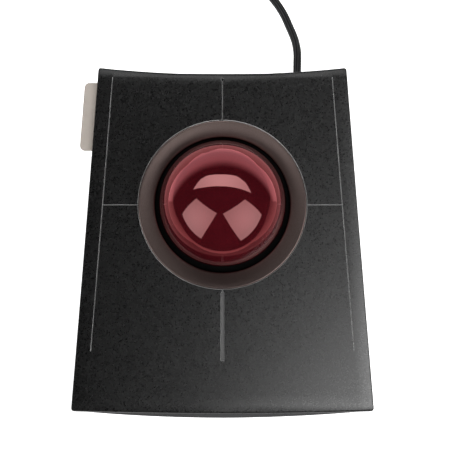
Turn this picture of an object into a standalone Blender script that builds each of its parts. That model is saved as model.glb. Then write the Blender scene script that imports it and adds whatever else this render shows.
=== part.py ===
"""Desktop trackball: a big ball in a tilted cover with four click plates, and a corded plug.

Metres, +Z up. +X is the user's right and +Y points away from the user, to the side where the
cord leaves. The origin lies on the desk, under the middle of the housing's outline.
Run with: blender --background --python part.py, or from Blender's text editor.
"""
import math

import bmesh
import bpy
from mathutils import Matrix, Vector

# ---------------------------------------------------------------- driving dimensions
GAP = 0.0003              # clearance between pieces that touch

FRONT_HALF_WIDTH = 0.0663
REAR_HALF_WIDTH = 0.0542
FRONT_CORNER_Y = -0.07175
REAR_CORNER_Y = 0.07475
FRONT_BOW = 0.0022        # how far the middle of the front edge lies ahead of its corners
REAR_BOW = 0.0028         # the rear edge bows the same way
CORNER_R = 0.0012

BALL_R = 0.0275
BALL_CENTRE = Vector((0.0, 0.01625, 0.0305))
BALL_Y = BALL_CENTRE.y

PLANE_Z = 0.0273          # cover's height beside the ball
TOP_SLOPE = 0.236         # the cover climbs towards the rear
TOP_CURVE = 0.27          # and sweeps up a little, per metre
ROLL_WIDTH = 0.0050       # the rear edge rolls over
ROLL_DROP = 0.0008
TILT = math.atan(TOP_SLOPE)
COVER_THICK = 0.0020

SLIT = 0.0006             # width of the slits between the click plates and the frame
SLIT_INSET = 0.0060       # side slits run this far inside the side edges
FRONT_SLOT = 0.0017
FRONT_HINGE_Y = -0.0473   # the lower plates flex here
REAR_HINGE_Y = 0.0683     # the upper plates flex here

RING_R = 0.0375
RING_HOLE_R = 0.0292
RING_PROUD = 0.0006
RING_THICK = 0.0021

CUP_CLEARANCE = 0.0008
CUP_WALL = 0.0018
CUP_FLANGE_R = 0.0363
CUP_FLANGE_TOP = -0.0057  # along the ball's tilted axis, from the ball's centre
CUP_FLANGE_THICK = 0.0015
CUP_FLOOR_Z = 0.0030

BEARING_R = 0.00125
BEARING_DIP = math.radians(28)       # below the ball's equator
BEARING_BOSS_R = 0.0030
BEARING_BOSS_OUT = 0.0024
BEARING_PLAY = 0.00015
BEARING_TURNS = (90, 210, 330)       # degrees round the tilted axis
SENSOR_DIP = math.radians(38)
SENSOR_TURNS = {"left": 150, "right": 30}
SENSOR_WINDOW_R = 0.0038
LENS_R = 0.0034
LENS_START = 0.0013       # from the ball's surface
LENS_THICK = 0.0024
SENSOR_SIZE = (0.0090, 0.0080, 0.0026)
SENSOR_BOARD_SIZE = (0.0130, 0.0110, 0.0012)

CASE_BOTTOM_Z = 0.0012
CASE_FLOOR_THICK = 0.0014
CASE_WALL = 0.0020
CASE_RIM_INSET = 0.0015   # the case starts this far inside the cover's sides
CASE_FOOT_INSET = 0.0090  # and draws in this far by the floor
CASE_REAR_Y = 0.0728
CASE_REAR_FOOT_Y = 0.0680
CASE_FRONT_Y = -0.07435
CASE_FOOT_FRONT_Y = CASE_FRONT_Y + 0.0004
CASE_RIM_BOW = 0.0030      # its front bows more than the cover does
CASE_FOOT_BOW = 0.0040
CASE_RIM_CORNER_R = 0.0035
CASE_FOOT_CORNER_R = 0.0045

FOOT_R = 0.0050
FOOT_THICK = CASE_BOTTOM_Z - GAP
FOOT_EDGE = 0.0002
FOOT_PLACES = {"front_left": (-0.0440, -0.0470), "front_right": (0.0440, -0.0470),
               "rear_left": (-0.0340, 0.0500), "rear_right": (0.0340, 0.0500)}

SCREWS = {"front_left": (-0.0460, -0.0600), "front_right": (0.0460, -0.0600),
          "rear_left": (-0.0230, 0.0625), "rear_right": (0.0230, 0.0625)}
SCREW_WEB_Z = {"front": 0.0026, "rear": 0.0188}     # underside of the web that the head bears on
SCREW_WEB = 0.0012
SCREW_HEAD_R = 0.0021
SCREW_HEAD = 0.0012
SCREW_R = 0.0010
SCREW_LENGTH = {"front": 0.0045, "rear": 0.0080}
SCREW_EASE = 0.0003       # how much wider a screw's clearance hole is, in radius
POST_R = 0.0022
BOSS_R = 0.0040
BOARD_POST_R = 0.0026
REAR_BAR = {"low": 0.0310, "high": 0.0338, "front": 0.0590, "rear": 0.0690, "half": 0.0400}
REAR_LINK = {"front": 0.0686, "rear": 0.0694, "high": 0.0386}

TAB_FRONT_Y = 0.0400
TAB_REAR_Y = 0.0688
TAB_OUT = 0.0056          # past the cover's side edge
TAB_IN = 0.0050           # and under it
TAB_THICK = 0.0010
TAB_CORNER_R = 0.0022

BOARD_Z = 0.0060
BOARD_THICK = 0.0016
BOARD_HALF_WIDTH = 0.0480
BOARD_FRONT_Y = -0.0060
BOARD_REAR_Y = 0.0400
BOARD_HOLE_R = 0.0215

BOARD_CORNER_R = 0.0015
BOARD_TAPER = 0.0030      # the board narrows by this much each side towards the rear
BOARD_POSTS = [(x, y) for x in (-0.0440, 0.0440) for y in (-0.0020, 0.0350)]
CHIP_AT = (-0.0290, -0.0010)
CHIP_SIZE = (0.0070, 0.0070, 0.0010)
HEADER_AT = (0.0390, 0.0350)
HEADER_SIZE = (0.0110, 0.0050, 0.0060)

SWITCH_SIZE = (0.0128, 0.0058, 0.0065)
SWITCH_X = 0.0415
SWITCH_STEP = 0.0075      # in front of and behind the ball's centre line
PLUNGER_SIZE = (0.0026, 0.0016)
PLUNGER_PROUD = 0.0010
PLUNGER_SUNK = 0.0012
POCKET_EASE = 0.0009      # free depth under a plunger
PRESSER_SIZE = (0.0040, 0.0030)
PRESSER_GAP = 0.0001      # between a presser and its plunger

CORD_R = 0.0018
CORD_EXIT = Vector((0.0335, 0.0693, 0.0120))   # where its strain relief leaves the rear wall
RELIEF_OUT = 0.0090
RELIEF_IN = 0.0050
RELIEF_CLIP_R = 0.0045
RELIEF_CLIP = 0.0014      # thickness of the clip that holds it inside the wall
RELIEF_NECK_R = 0.0031
INNER_LEAD_R = 0.0013

# from the strain relief, back and down to the desk, then left to the coil
CORD_ROUTE = [(0.0335, 0.0786, 0.0120), (0.0337, 0.0850, 0.0116), (0.0338, 0.0910, 0.0102),
              (0.0332, 0.0968, 0.0070), (0.0319, 0.1020, 0.0040), (0.0303, 0.1065, 0.0023),
              (0.0284, 0.1112, 0.0018), (0.0258, 0.1158, 0.0018), (0.0226, 0.1202, 0.0018),
              (0.0189, 0.1250, 0.0018), (0.0153, 0.1300, 0.0018), (0.0116, 0.1352, 0.0018),
              (0.0078, 0.1405, 0.0019), (0.0040, 0.1458, 0.0020), (0.0002, 0.1513, 0.0021)]

COIL_CENTRE = Vector((-0.0300, 0.1495, 0.0))
COIL_INNER_R = 0.0168     # centreline of the innermost turn
COIL_OUTER_R = 0.0260     # centreline of the outermost turn
COIL_LAYERS = 4
TIE_THICK = 0.0006
COIL_LIFT = TIE_THICK + GAP
TIE_TURN = math.radians(-55)
TIE_WIDTH = 0.0060
TIE_CORNERS = (0.0014, 0.0020)       # inside and outside
PLUG_BODY = (0.0230, 0.0150, 0.0080)
PLUG_SHELL = (0.0120, 0.0120, 0.0045)
PLUG_CHORD = 0.0130       # the plug lies on the coil, this far from its middle
PLUG_TURN = math.radians(71)         # where the last turn leaves the coil
PLUG_LEAD = 0.0016        # straight cord before the grip
PLUG_EDGE = 0.0012
SHELL_WALL = 0.0004
SHELL_MOUTH = 0.0018
SHELL_BACK = 0.0010       # the shell is solid for this length

CASE_UNDER_COVER = COVER_THICK + GAP


# ---------------------------------------------------------------- general helpers
def clear_scene():
    for item in list(bpy.data.objects):
        bpy.data.objects.remove(item, do_unlink=True)


def material(name, colour, roughness, metallic=0.0):
    mat = bpy.data.materials.new(name)
    mat.use_nodes = True
    shader = mat.node_tree.nodes["Principled BSDF"]
    shader.inputs["Base Color"].default_value = (*colour, 1.0)
    shader.inputs["Roughness"].default_value = roughness
    shader.inputs["Metallic"].default_value = metallic
    return mat


def finish_object(name, bm, mat=None, smooth=True):
    """Turns a bmesh into a closed, outward-facing object."""
    bmesh.ops.recalc_face_normals(bm, faces=bm.faces[:])
    mesh = bpy.data.meshes.new(name)
    bm.to_mesh(mesh)
    bm.free()
    if smooth:
        mesh.shade_smooth()
        mesh.set_sharp_from_angle(angle=math.radians(32))
    obj = bpy.data.objects.new(name, mesh)
    bpy.context.scene.collection.objects.link(obj)
    if mat:
        mesh.materials.append(mat)
    return obj


def as_tool(obj):
    """A cutter or an addition: used by a Boolean and left out of the model."""
    obj.hide_render = True
    obj.display_type = "WIRE"
    return obj


def boolean(obj, tool, operation):
    mod = obj.modifiers.new(operation.lower(), "BOOLEAN")
    mod.operation = operation
    mod.object = as_tool(tool)
    mod.solver = "EXACT"


def add_box(bm, centre, size, turn=None):
    place = Matrix.Translation(centre)
    if turn:
        place = place @ turn
    bmesh.ops.create_cube(bm, size=1.0, matrix=place @ Matrix.Diagonal((*size, 1.0)))


def add_rod(bm, start, end, radius, sides=16):
    start, end = Vector(start), Vector(end)
    along = end - start
    place = Matrix.Translation((start + end) / 2) @ along.to_track_quat("Z", "Y").to_matrix().to_4x4()
    bmesh.ops.create_cone(bm, cap_ends=True, segments=sides, radius1=radius, radius2=radius,
                          depth=along.length, matrix=place)


def add_turned(bm, profile, sides, place, closed=True):
    """Turns (radius, height) points about Z. Points on the axis become poles."""
    rings = []
    for radius, height in profile:
        if radius < 1e-7:
            rings.append([bm.verts.new(place @ Vector((0, 0, height)))])
            continue
        ring = []
        for step in range(sides):
            angle = 2 * math.pi * step / sides
            ring.append(place @ Vector((radius * math.cos(angle), radius * math.sin(angle), height)))
        rings.append([bm.verts.new(point) for point in ring])
    pairs = list(zip(rings, rings[1:]))
    if closed:
        pairs.append((rings[-1], rings[0]))
    for first, second in pairs:
        for step in range(sides):
            after = (step + 1) % sides
            corners = [first[step % len(first)], first[after % len(first)],
                       second[after % len(second)], second[step % len(second)]]
            corners = [v for i, v in enumerate(corners) if v is not corners[i - 1]]
            if len(corners) > 2:
                bm.faces.new(corners)


def add_prism(bm, outline, low, high):
    """Upright prism over an outline of (x, y) points."""
    lower = [bm.verts.new((x, y, low)) for x, y in outline]
    upper = [bm.verts.new((x, y, high)) for x, y in outline]
    bm.faces.new(lower)
    bm.faces.new(upper)
    for i in range(len(outline)):
        bm.faces.new((lower[i - 1], lower[i], upper[i], upper[i - 1]))


def rounded_polygon(corners, radius, steps=3, spacing=0.012):
    """(x, y) points round a polygon, its corners rounded and its sides divided evenly."""
    points = []
    count = len(corners)
    ends = []
    for i in range(count):
        corner = Vector(corners[i])
        before = (Vector(corners[i - 1]) - corner).normalized()
        after = (Vector(corners[(i + 1) % count]) - corner).normalized()
        half = before.angle(after) / 2
        reach = radius / math.tan(half)
        centre = corner + (before + after).normalized() * (radius / math.sin(half))
        start, end = corner + before * reach, corner + after * reach
        arc = []
        for step in range(steps + 1):
            along = (start - centre).lerp(end - centre, step / steps)
            arc.append(centre + along.normalized() * radius)
        ends.append(arc)
    for i in range(count):
        points.extend(ends[i])
        start, end = ends[i][-1], ends[(i + 1) % count][0]
        parts = max(1, round((end - start).length / spacing))
        points.extend(start.lerp(end, part / parts) for part in range(1, parts))
    return [(p.x, p.y) for p in points]


# ---------------------------------------------------------------- the cover's shape
def half_width(y, inset=0.0):
    share = (y - FRONT_CORNER_Y) / (REAR_CORNER_Y - FRONT_CORNER_Y)
    return FRONT_HALF_WIDTH + (REAR_HALF_WIDTH - FRONT_HALF_WIDTH) * share - inset


def bowed(points, front_y, rear_y, front_bow, rear_bow, inset=0.0):
    """Shifts an outline forwards in its middle, by front_bow at the front and rear_bow at the rear."""
    shifted = []
    for x, y in points:
        share = (y - front_y) / (rear_y - front_y)
        middle = 1 - min(1.0, abs(x) / half_width(y, inset)) ** 2
        shifted.append((x, y - (front_bow + (rear_bow - front_bow) * share) * middle))
    return shifted


def rear_edge_y(x):
    return REAR_CORNER_Y - REAR_BOW * (1 - min(1.0, abs(x) / REAR_HALF_WIDTH) ** 2)


def surface_z(x, y):
    """Height of the cover's outer surface."""
    along = y - BALL_Y
    height = PLANE_Z + TOP_SLOPE * along + TOP_CURVE * along * along
    rolled = y - (rear_edge_y(x) - ROLL_WIDTH)
    if rolled > 0:
        height -= ROLL_DROP * (rolled / ROLL_WIDTH) ** 2
    return height


def cover_outline(inset=0.0):
    corners = [(-half_width(FRONT_CORNER_Y, inset), FRONT_CORNER_Y + inset),
               (half_width(FRONT_CORNER_Y, inset), FRONT_CORNER_Y + inset),
               (half_width(REAR_CORNER_Y, inset), REAR_CORNER_Y - inset),
               (-half_width(REAR_CORNER_Y, inset), REAR_CORNER_Y - inset)]
    points = rounded_polygon(corners, CORNER_R)
    return bowed(points, FRONT_CORNER_Y, REAR_CORNER_Y, FRONT_BOW, REAR_BOW, inset)


def slit_x(y):
    return half_width(y, SLIT_INSET)


def add_shell(bm, outline, thickness, drop=0.0, strip=0.0105):
    """A plate under the cover's surface: its outline from above, its depth below the surface."""
    sheet = bmesh.new()
    sheet.faces.new([sheet.verts.new((x, y, 0.0)) for x, y in outline])
    low = min(y for _, y in outline)
    high = max(y for _, y in outline)
    bands = max(1, round((high - low) / strip))
    lines = [low + (high - low) * band / bands for band in range(1, bands)]
    lines += [REAR_HINGE_Y + 0.0012, REAR_HINGE_Y + 0.0030]
    for y in lines:
        if low < y < high:
            bmesh.ops.bisect_plane(sheet, geom=sheet.verts[:] + sheet.edges[:] + sheet.faces[:],
                                   plane_co=(0, y, 0), plane_no=(0, 1, 0), dist=1e-6)
    bmesh.ops.triangulate(sheet, faces=sheet.faces[:])
    sheet.verts.index_update()
    tops = [bm.verts.new((v.co.x, v.co.y, surface_z(v.co.x, v.co.y) - drop)) for v in sheet.verts]
    bottoms = [bm.verts.new((v.co.x, v.co.y, v.co.z - thickness)) for v in tops]
    for face in sheet.faces:
        indices = [v.index for v in face.verts]
        bm.faces.new([tops[i] for i in indices])
        bm.faces.new([bottoms[i] for i in reversed(indices)])
    for edge in sheet.edges:
        if edge.is_boundary:
            a, b = edge.verts[0].index, edge.verts[1].index
            bm.faces.new((tops[a], tops[b], bottoms[b], bottoms[a]))
    sheet.free()


def ring_arc(radius, start, end, steps):
    """Points on a circle of the tilted ring, seen from above. Angles are from +X, in degrees."""
    points = []
    for step in range(steps + 1):
        angle = math.radians(start + (end - start) * step / steps)
        points.append((radius * math.cos(angle), BALL_Y + radius * math.sin(angle) * math.cos(TILT)))
    return points


# ---------------------------------------------------------------- cover, plates and ring
def web_z(name):
    return SCREW_WEB_Z[name.split("_")[0]]


def make_cover(mat):
    """The frame round the click plates, with screw posts under it."""
    bm = bmesh.new()
    add_shell(bm, cover_outline(), COVER_THICK)
    cover = finish_object("top_cover", bm, mat)

    opening = [(-slit_x(FRONT_HINGE_Y) - SLIT / 2, FRONT_HINGE_Y - GAP / 2),
               (slit_x(FRONT_HINGE_Y) + SLIT / 2, FRONT_HINGE_Y - GAP / 2),
               (slit_x(REAR_HINGE_Y) + SLIT / 2, REAR_HINGE_Y + GAP / 2),
               (-slit_x(REAR_HINGE_Y) - SLIT / 2, REAR_HINGE_Y + GAP / 2)]
    bm = bmesh.new()
    add_prism(bm, opening, -0.010, 0.080)
    boolean(cover, finish_object("cover_opening", bm), "DIFFERENCE")

    bar = REAR_BAR
    link = REAR_LINK
    bm = bmesh.new()
    add_box(bm, (0, (bar["front"] + bar["rear"]) / 2, (bar["low"] + bar["high"]) / 2),
            (2 * bar["half"], bar["rear"] - bar["front"], bar["high"] - bar["low"]))
    boolean(cover, finish_object("rear_bar", bm, smooth=False), "UNION")
    bm = bmesh.new()
    link_low = bar["high"] - 0.0006
    add_box(bm, (0, (link["front"] + link["rear"]) / 2, (link_low + link["high"]) / 2),
            (2 * bar["half"] - 0.0010, link["rear"] - link["front"], link["high"] - link_low))
    boolean(cover, finish_object("rear_link", bm, smooth=False), "UNION")

    bm = bmesh.new()
    for name, (x, y) in SCREWS.items():
        top = bar["low"] + 0.0010 if "rear" in name else surface_z(x, y) - COVER_THICK / 2
        add_rod(bm, (x, y, web_z(name) + SCREW_WEB + GAP), (x, y, top), POST_R)
    boolean(cover, finish_object("screw_posts", bm), "UNION")
    bm = bmesh.new()
    for name, (x, y) in SCREWS.items():
        length = SCREW_LENGTH[name.split("_")[0]]
        add_rod(bm, (x, y, web_z(name)), (x, y, web_z(name) + length + GAP),
                SCREW_R + SCREW_EASE / 2, 12)
    boolean(cover, finish_object("pilot_holes", bm), "DIFFERENCE")
    return cover


def plate_outline(row, side):
    """Outline of one click plate; side is 1 on the right and -1 on the left."""
    hole = RING_R + GAP
    towards = 1 if row == "upper" else -1
    inner = (SLIT if row == "upper" else FRONT_SLOT) / 2
    edge_y = BALL_Y + towards * SLIT / 2
    near_y = (REAR_HINGE_Y if row == "upper" else FRONT_HINGE_Y) - towards * GAP / 2
    start = math.degrees(math.asin((SLIT / 2) / (hole * math.cos(TILT))))
    end = 90 - math.degrees(math.asin(inner / hole))
    arc = ring_arc(hole, towards * start, towards * end, 14)
    points = [(inner, near_y), (slit_x(near_y) - SLIT / 2, near_y), (slit_x(edge_y) - SLIT / 2, edge_y)]
    return [(side * x, y) for x, y in points + arc]


def switch_place(row, side):
    return Vector((side * SWITCH_X, BALL_Y + (SWITCH_STEP if row == "upper" else -SWITCH_STEP),
                   BOARD_Z + BOARD_THICK + GAP))


def make_plate(row, side_name, mat):
    """A click plate with the presser that stands over its switch."""
    side = 1 if side_name == "right" else -1
    bm = bmesh.new()
    add_shell(bm, plate_outline(row, side), COVER_THICK)
    plate = finish_object(f"click_plate_{row}_{side_name}", bm, mat)
    seat = switch_place(row, side)
    low = seat.z + SWITCH_SIZE[2] + PLUNGER_PROUD + PRESSER_GAP
    high = surface_z(seat.x, seat.y) - COVER_THICK * 0.6
    bm = bmesh.new()
    add_box(bm, (seat.x, seat.y, (low + high) / 2), (*PRESSER_SIZE, high - low))
    boolean(plate, finish_object(f"presser_{row}_{side_name}", bm, smooth=False), "UNION")
    return plate


def ring_place():
    return Matrix.Translation((0, BALL_Y, PLANE_Z)) @ Matrix.Rotation(TILT, 4, "X")


def make_ring(mat):
    """The dished ring round the ball."""
    top = RING_PROUD
    low = RING_PROUD - RING_THICK
    step_in = RING_R - 0.0006      # below the cover the ring steps in, clear of the upright plate edges
    profile = [(step_in, low), (step_in, top - 0.0012), (RING_R, top - 0.0010),
               (RING_R, top - 0.0004), (RING_R - 0.0004, top),
               (RING_R - 0.0010, top - 0.0001), (RING_R - 0.0040, top - 0.0005),
               (RING_HOLE_R + 0.0016, top - 0.0008), (RING_HOLE_R + 0.0005, top - 0.0011),
               (RING_HOLE_R, top - 0.0018), (RING_HOLE_R, low)]
    bm = bmesh.new()
    add_turned(bm, profile, 64, ring_place())
    return finish_object("ring_bezel", bm, mat)


# ---------------------------------------------------------------- ball, cup and sensors
def ball_axis_place():
    """The ball's centre, with Z along the normal of the tilted cover."""
    return Matrix.Translation(BALL_CENTRE) @ Matrix.Rotation(TILT, 4, "X")


def ball_direction(turn, dip):
    """Unit vector from the ball's centre, turn degrees round the tilted axis and dipped below it."""
    angle = math.radians(turn)
    local = Vector((math.cos(dip) * math.cos(angle), math.cos(dip) * math.sin(angle), -math.sin(dip)))
    return ball_axis_place().to_3x3() @ local


def make_ball(mat):
    bm = bmesh.new()
    bmesh.ops.create_uvsphere(bm, u_segments=40, v_segments=20, radius=BALL_R)
    ball = finish_object("ball", bm, mat)
    ball.location = BALL_CENTRE
    return ball


def make_cup(mat):
    """The spherical seat under the ball, with bearing pockets and two sensor windows."""
    inner = BALL_R + CUP_CLEARANCE
    outer = inner + CUP_WALL
    flange_low = CUP_FLANGE_TOP - CUP_FLANGE_THICK
    steps = 9
    outer_start = math.asin(-flange_low / outer)
    inner_start = math.asin(-CUP_FLANGE_TOP / inner)
    profile = [(CUP_FLANGE_R, CUP_FLANGE_TOP), (CUP_FLANGE_R, flange_low)]
    for step in range(steps + 1):
        angle = outer_start + (math.pi / 2 - outer_start) * step / steps
        profile.append((outer * math.cos(angle), -outer * math.sin(angle)))
    for step in range(steps + 1):
        angle = math.pi / 2 + (inner_start - math.pi / 2) * step / steps
        profile.append((inner * math.cos(angle), -inner * math.sin(angle)))
    bm = bmesh.new()
    add_turned(bm, profile, 48, ball_axis_place())
    cup = finish_object("ball_cup", bm, mat)

    bm = bmesh.new()
    for turn in BEARING_TURNS:
        way = ball_direction(turn, BEARING_DIP)
        start, end = outer - CUP_WALL / 2, outer + BEARING_BOSS_OUT
        add_rod(bm, BALL_CENTRE + way * start, BALL_CENTRE + way * end, BEARING_BOSS_R)
    boolean(cup, finish_object("bearing_bosses", bm), "UNION")

    bm = bmesh.new()
    for turn in BEARING_TURNS:
        way = ball_direction(turn, BEARING_DIP)
        add_rod(bm, BALL_CENTRE + way * (inner - CUP_WALL),
                BALL_CENTRE + way * (bearing_reach() + BEARING_R + GAP), BEARING_R + GAP, 12)
    for turn in SENSOR_TURNS.values():
        way = ball_direction(turn, SENSOR_DIP)
        add_rod(bm, BALL_CENTRE + way * (inner - CUP_WALL), BALL_CENTRE + way * (outer + CUP_WALL),
                SENSOR_WINDOW_R)
    add_box(bm, (0, BALL_Y, CUP_FLOOR_Z - 0.010), (0.060, 0.060, 0.020))
    boolean(cup, finish_object("cup_openings", bm), "DIFFERENCE")
    return cup


def bearing_reach():
    """Distance from the ball's centre to a bearing ball's centre."""
    return BALL_R + BEARING_PLAY + BEARING_R


def make_bearings(mat):
    for number, turn in enumerate(BEARING_TURNS, 1):
        bm = bmesh.new()
        bmesh.ops.create_uvsphere(bm, u_segments=12, v_segments=8, radius=BEARING_R)
        bearing = finish_object(f"bearing_ball_{number}", bm, mat)
        bearing.location = BALL_CENTRE + ball_direction(turn, BEARING_DIP) * bearing_reach()


def make_sensors(chip_mat, lens_mat, board_mat):
    """Lens, sensor chip and its little board, stacked outwards from the ball on each side."""
    for side_name, turn in SENSOR_TURNS.items():
        way = ball_direction(turn, SENSOR_DIP)
        facing = way.to_track_quat("Z", "Y").to_matrix().to_4x4()
        lens_start = BALL_R + LENS_START
        lens_end = lens_start + LENS_THICK
        bm = bmesh.new()
        add_rod(bm, BALL_CENTRE + way * lens_start, BALL_CENTRE + way * lens_end, LENS_R)
        finish_object(f"sensor_lens_{side_name}", bm, lens_mat)
        depth = lens_end
        for name, size, mat in (("optical_sensor", SENSOR_SIZE, chip_mat),
                                ("sensor_board", SENSOR_BOARD_SIZE, board_mat)):
            bm = bmesh.new()
            add_box(bm, BALL_CENTRE + way * (depth + GAP + size[2] / 2), size, facing)
            finish_object(f"{name}_{side_name}", bm, mat, smooth=False)
            depth += GAP + size[2]


# ---------------------------------------------------------------- lower case
def case_outline(front_half, rear_half, front_y, front_bow, rear_y, corner):
    corners = [(-front_half, front_y + front_bow), (front_half, front_y + front_bow),
               (rear_half, rear_y), (-rear_half, rear_y)]
    shifted = []
    for x, y in rounded_polygon(corners, corner, steps=4, spacing=0.0125):
        share = (rear_y - y) / (rear_y - front_y)
        shifted.append((x, y - front_bow * share * (1 - min(1.0, abs(x) / front_half) ** 2)))
    return shifted


def case_loops():
    """The case's four outlines: outside and inside, at the rim and at the floor."""
    rim_half = (FRONT_HALF_WIDTH - CASE_RIM_INSET, REAR_HALF_WIDTH - CASE_RIM_INSET)
    foot_half = (FRONT_HALF_WIDTH - CASE_FOOT_INSET, REAR_HALF_WIDTH - CASE_FOOT_INSET)
    wall = CASE_WALL
    return {
        "rim_out": case_outline(*rim_half, CASE_FRONT_Y, CASE_RIM_BOW, CASE_REAR_Y, CASE_RIM_CORNER_R),
        "rim_in": case_outline(rim_half[0] - wall, rim_half[1] - wall, CASE_FRONT_Y + wall, CASE_RIM_BOW,
                               CASE_REAR_Y - wall, CASE_RIM_CORNER_R - wall / 2),
        "foot_out": case_outline(*foot_half, CASE_FOOT_FRONT_Y, CASE_FOOT_BOW, CASE_REAR_FOOT_Y,
                                 CASE_FOOT_CORNER_R),
        "foot_in": case_outline(foot_half[0] - wall, foot_half[1] - wall, CASE_FOOT_FRONT_Y + wall,
                                CASE_FOOT_BOW, CASE_REAR_FOOT_Y - wall, CASE_FOOT_CORNER_R - wall / 2)}


def matched(points, like):
    """Spreads an outline's points so that it has as many as another one."""
    lengths = [0.0]
    closed = points + points[:1]
    for a, b in zip(closed, closed[1:]):
        lengths.append(lengths[-1] + math.dist(a, b))
    total = lengths[-1]
    spread = []
    for i in range(len(like)):
        target = total * i / len(like)
        index = max(k for k, length in enumerate(lengths[:-1]) if length <= target + 1e-12)
        share = (target - lengths[index]) / max(1e-9, lengths[index + 1] - lengths[index])
        a, b = closed[index], closed[index + 1]
        spread.append((a[0] + (b[0] - a[0]) * share, a[1] + (b[1] - a[1]) * share))
    return spread


def make_case(mat):
    """The lower case: a tray whose rim follows the cover's underside."""
    loops = case_loops()
    if len({len(points) for points in loops.values()}) > 1:
        loops = {name: matched(points, loops["rim_out"]) for name, points in loops.items()}
    floor_top = CASE_BOTTOM_Z + CASE_FLOOR_THICK
    bm = bmesh.new()

    def ring(points, height=None):
        verts = []
        for x, y in points:
            z = height
            if z is None:
                z = surface_z(x, max(y, CASE_FRONT_Y)) - CASE_UNDER_COVER
            verts.append(bm.verts.new((x, y, z)))
        return verts

    foot_out = ring(loops["foot_out"], CASE_BOTTOM_Z)
    rim_out = ring(loops["rim_out"])
    rim_in = ring(loops["rim_in"])
    foot_in = ring(loops["foot_in"], floor_top)
    for lower, upper in ((foot_out, rim_out), (rim_out, rim_in), (rim_in, foot_in)):
        for i in range(len(lower)):
            bm.faces.new((lower[i - 1], lower[i], upper[i], upper[i - 1]))
    bm.faces.new(foot_out)
    bm.faces.new(foot_in)
    case = finish_object("bottom_case", bm, mat)

    bm = bmesh.new()
    for name, (x, y) in SCREWS.items():
        web_top = web_z(name) + SCREW_WEB
        add_rod(bm, (x, y, CASE_BOTTOM_Z + GAP), (x, y, web_top + POST_R), BOSS_R, 20)
    for x, y in BOARD_POSTS:
        add_rod(bm, (x, y, CASE_BOTTOM_Z + GAP), (x, y, BOARD_Z - GAP), BOARD_POST_R, 12)
    boolean(case, finish_object("case_bosses", bm), "UNION")

    bm = bmesh.new()
    for name, (x, y) in SCREWS.items():
        base = web_z(name)
        head, shank, post = (radius + SCREW_EASE for radius in (SCREW_HEAD_R, SCREW_R, POST_R))
        below, above = CASE_BOTTOM_Z - 0.002, base + 0.010
        add_turned(bm, [(0, below), (head, below), (head, base), (shank, base), (shank, base + SCREW_WEB),
                        (post, base + SCREW_WEB), (post, above), (0, above)],
                   16, Matrix.Translation((x, y, 0)), closed=False)
    along = Vector((0, 0.012, 0))
    add_rod(bm, CORD_EXIT - along, CORD_EXIT + along, RELIEF_NECK_R + GAP, 20)
    boolean(case, finish_object("case_openings", bm), "DIFFERENCE")

    bm = bmesh.new()
    add_shell(bm, tab_outline(GAP), TAB_THICK + 3 * GAP, COVER_THICK + GAP / 2)
    boolean(case, finish_object("tab_slot", bm), "DIFFERENCE")
    return case


def make_screws(mat):
    for name, (x, y) in SCREWS.items():
        head_top = web_z(name) - 0.0002
        end = head_top + SCREW_LENGTH[name.split("_")[0]]
        bm = bmesh.new()
        add_turned(bm, [(0, head_top - SCREW_HEAD), (SCREW_HEAD_R, head_top - SCREW_HEAD),
                        (SCREW_HEAD_R, head_top), (SCREW_R, head_top),
                        (SCREW_R, end - 0.0006), (0.0004, end), (0, end)],
                   12, Matrix.Translation((x, y, 0)), closed=False)
        finish_object(f"case_screw_{name}", bm, mat)


def make_feet(mat):
    for name, (x, y) in FOOT_PLACES.items():
        bm = bmesh.new()
        profile = [(0, 0), (FOOT_R - FOOT_EDGE, 0), (FOOT_R, FOOT_EDGE), (FOOT_R, FOOT_THICK),
                   (0, FOOT_THICK)]
        add_turned(bm, profile, 24, Matrix.Translation((x, y, 0)), closed=False)
        finish_object(f"rubber_foot_{name}", bm, mat)


def tab_outline(grow=0.0):
    """The tab on the left side, parallel to the side edge."""
    front, rear = TAB_FRONT_Y - grow, TAB_REAR_Y + grow
    out = TAB_OUT + grow
    corners = [(-half_width(front) - out, front), (-half_width(front) + TAB_IN + grow, front),
               (-half_width(rear) + TAB_IN + grow, rear), (-half_width(rear) - out, rear)]
    return rounded_polygon(corners, TAB_CORNER_R, steps=5, spacing=0.010)


def make_tab(mat):
    bm = bmesh.new()
    add_shell(bm, tab_outline(), TAB_THICK, COVER_THICK + 2 * GAP)
    return finish_object("side_tab", bm, mat)


# ---------------------------------------------------------------- boards and switches
def make_board(mat):
    rear_half = BOARD_HALF_WIDTH - BOARD_TAPER
    corners = [(-BOARD_HALF_WIDTH, BOARD_FRONT_Y), (BOARD_HALF_WIDTH, BOARD_FRONT_Y),
               (rear_half, BOARD_REAR_Y), (-rear_half, BOARD_REAR_Y)]
    bm = bmesh.new()
    add_prism(bm, rounded_polygon(corners, BOARD_CORNER_R, spacing=0.2), BOARD_Z, BOARD_Z + BOARD_THICK)
    board = finish_object("main_board", bm, mat)
    bm = bmesh.new()
    add_rod(bm, (0, BALL_Y, BOARD_Z - 0.002), (0, BALL_Y, BOARD_Z + 0.004), BOARD_HOLE_R, 40)
    boolean(board, finish_object("board_hole", bm), "DIFFERENCE")
    return board


def make_board_parts(chip_mat, header_mat):
    top = BOARD_Z + BOARD_THICK + GAP
    bm = bmesh.new()
    add_box(bm, (*CHIP_AT, top + CHIP_SIZE[2] / 2), CHIP_SIZE)
    finish_object("controller_chip", bm, chip_mat, smooth=False)
    bm = bmesh.new()
    add_box(bm, (*HEADER_AT, top + HEADER_SIZE[2] / 2), HEADER_SIZE)
    finish_object("cord_header", bm, header_mat, smooth=False)


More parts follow.
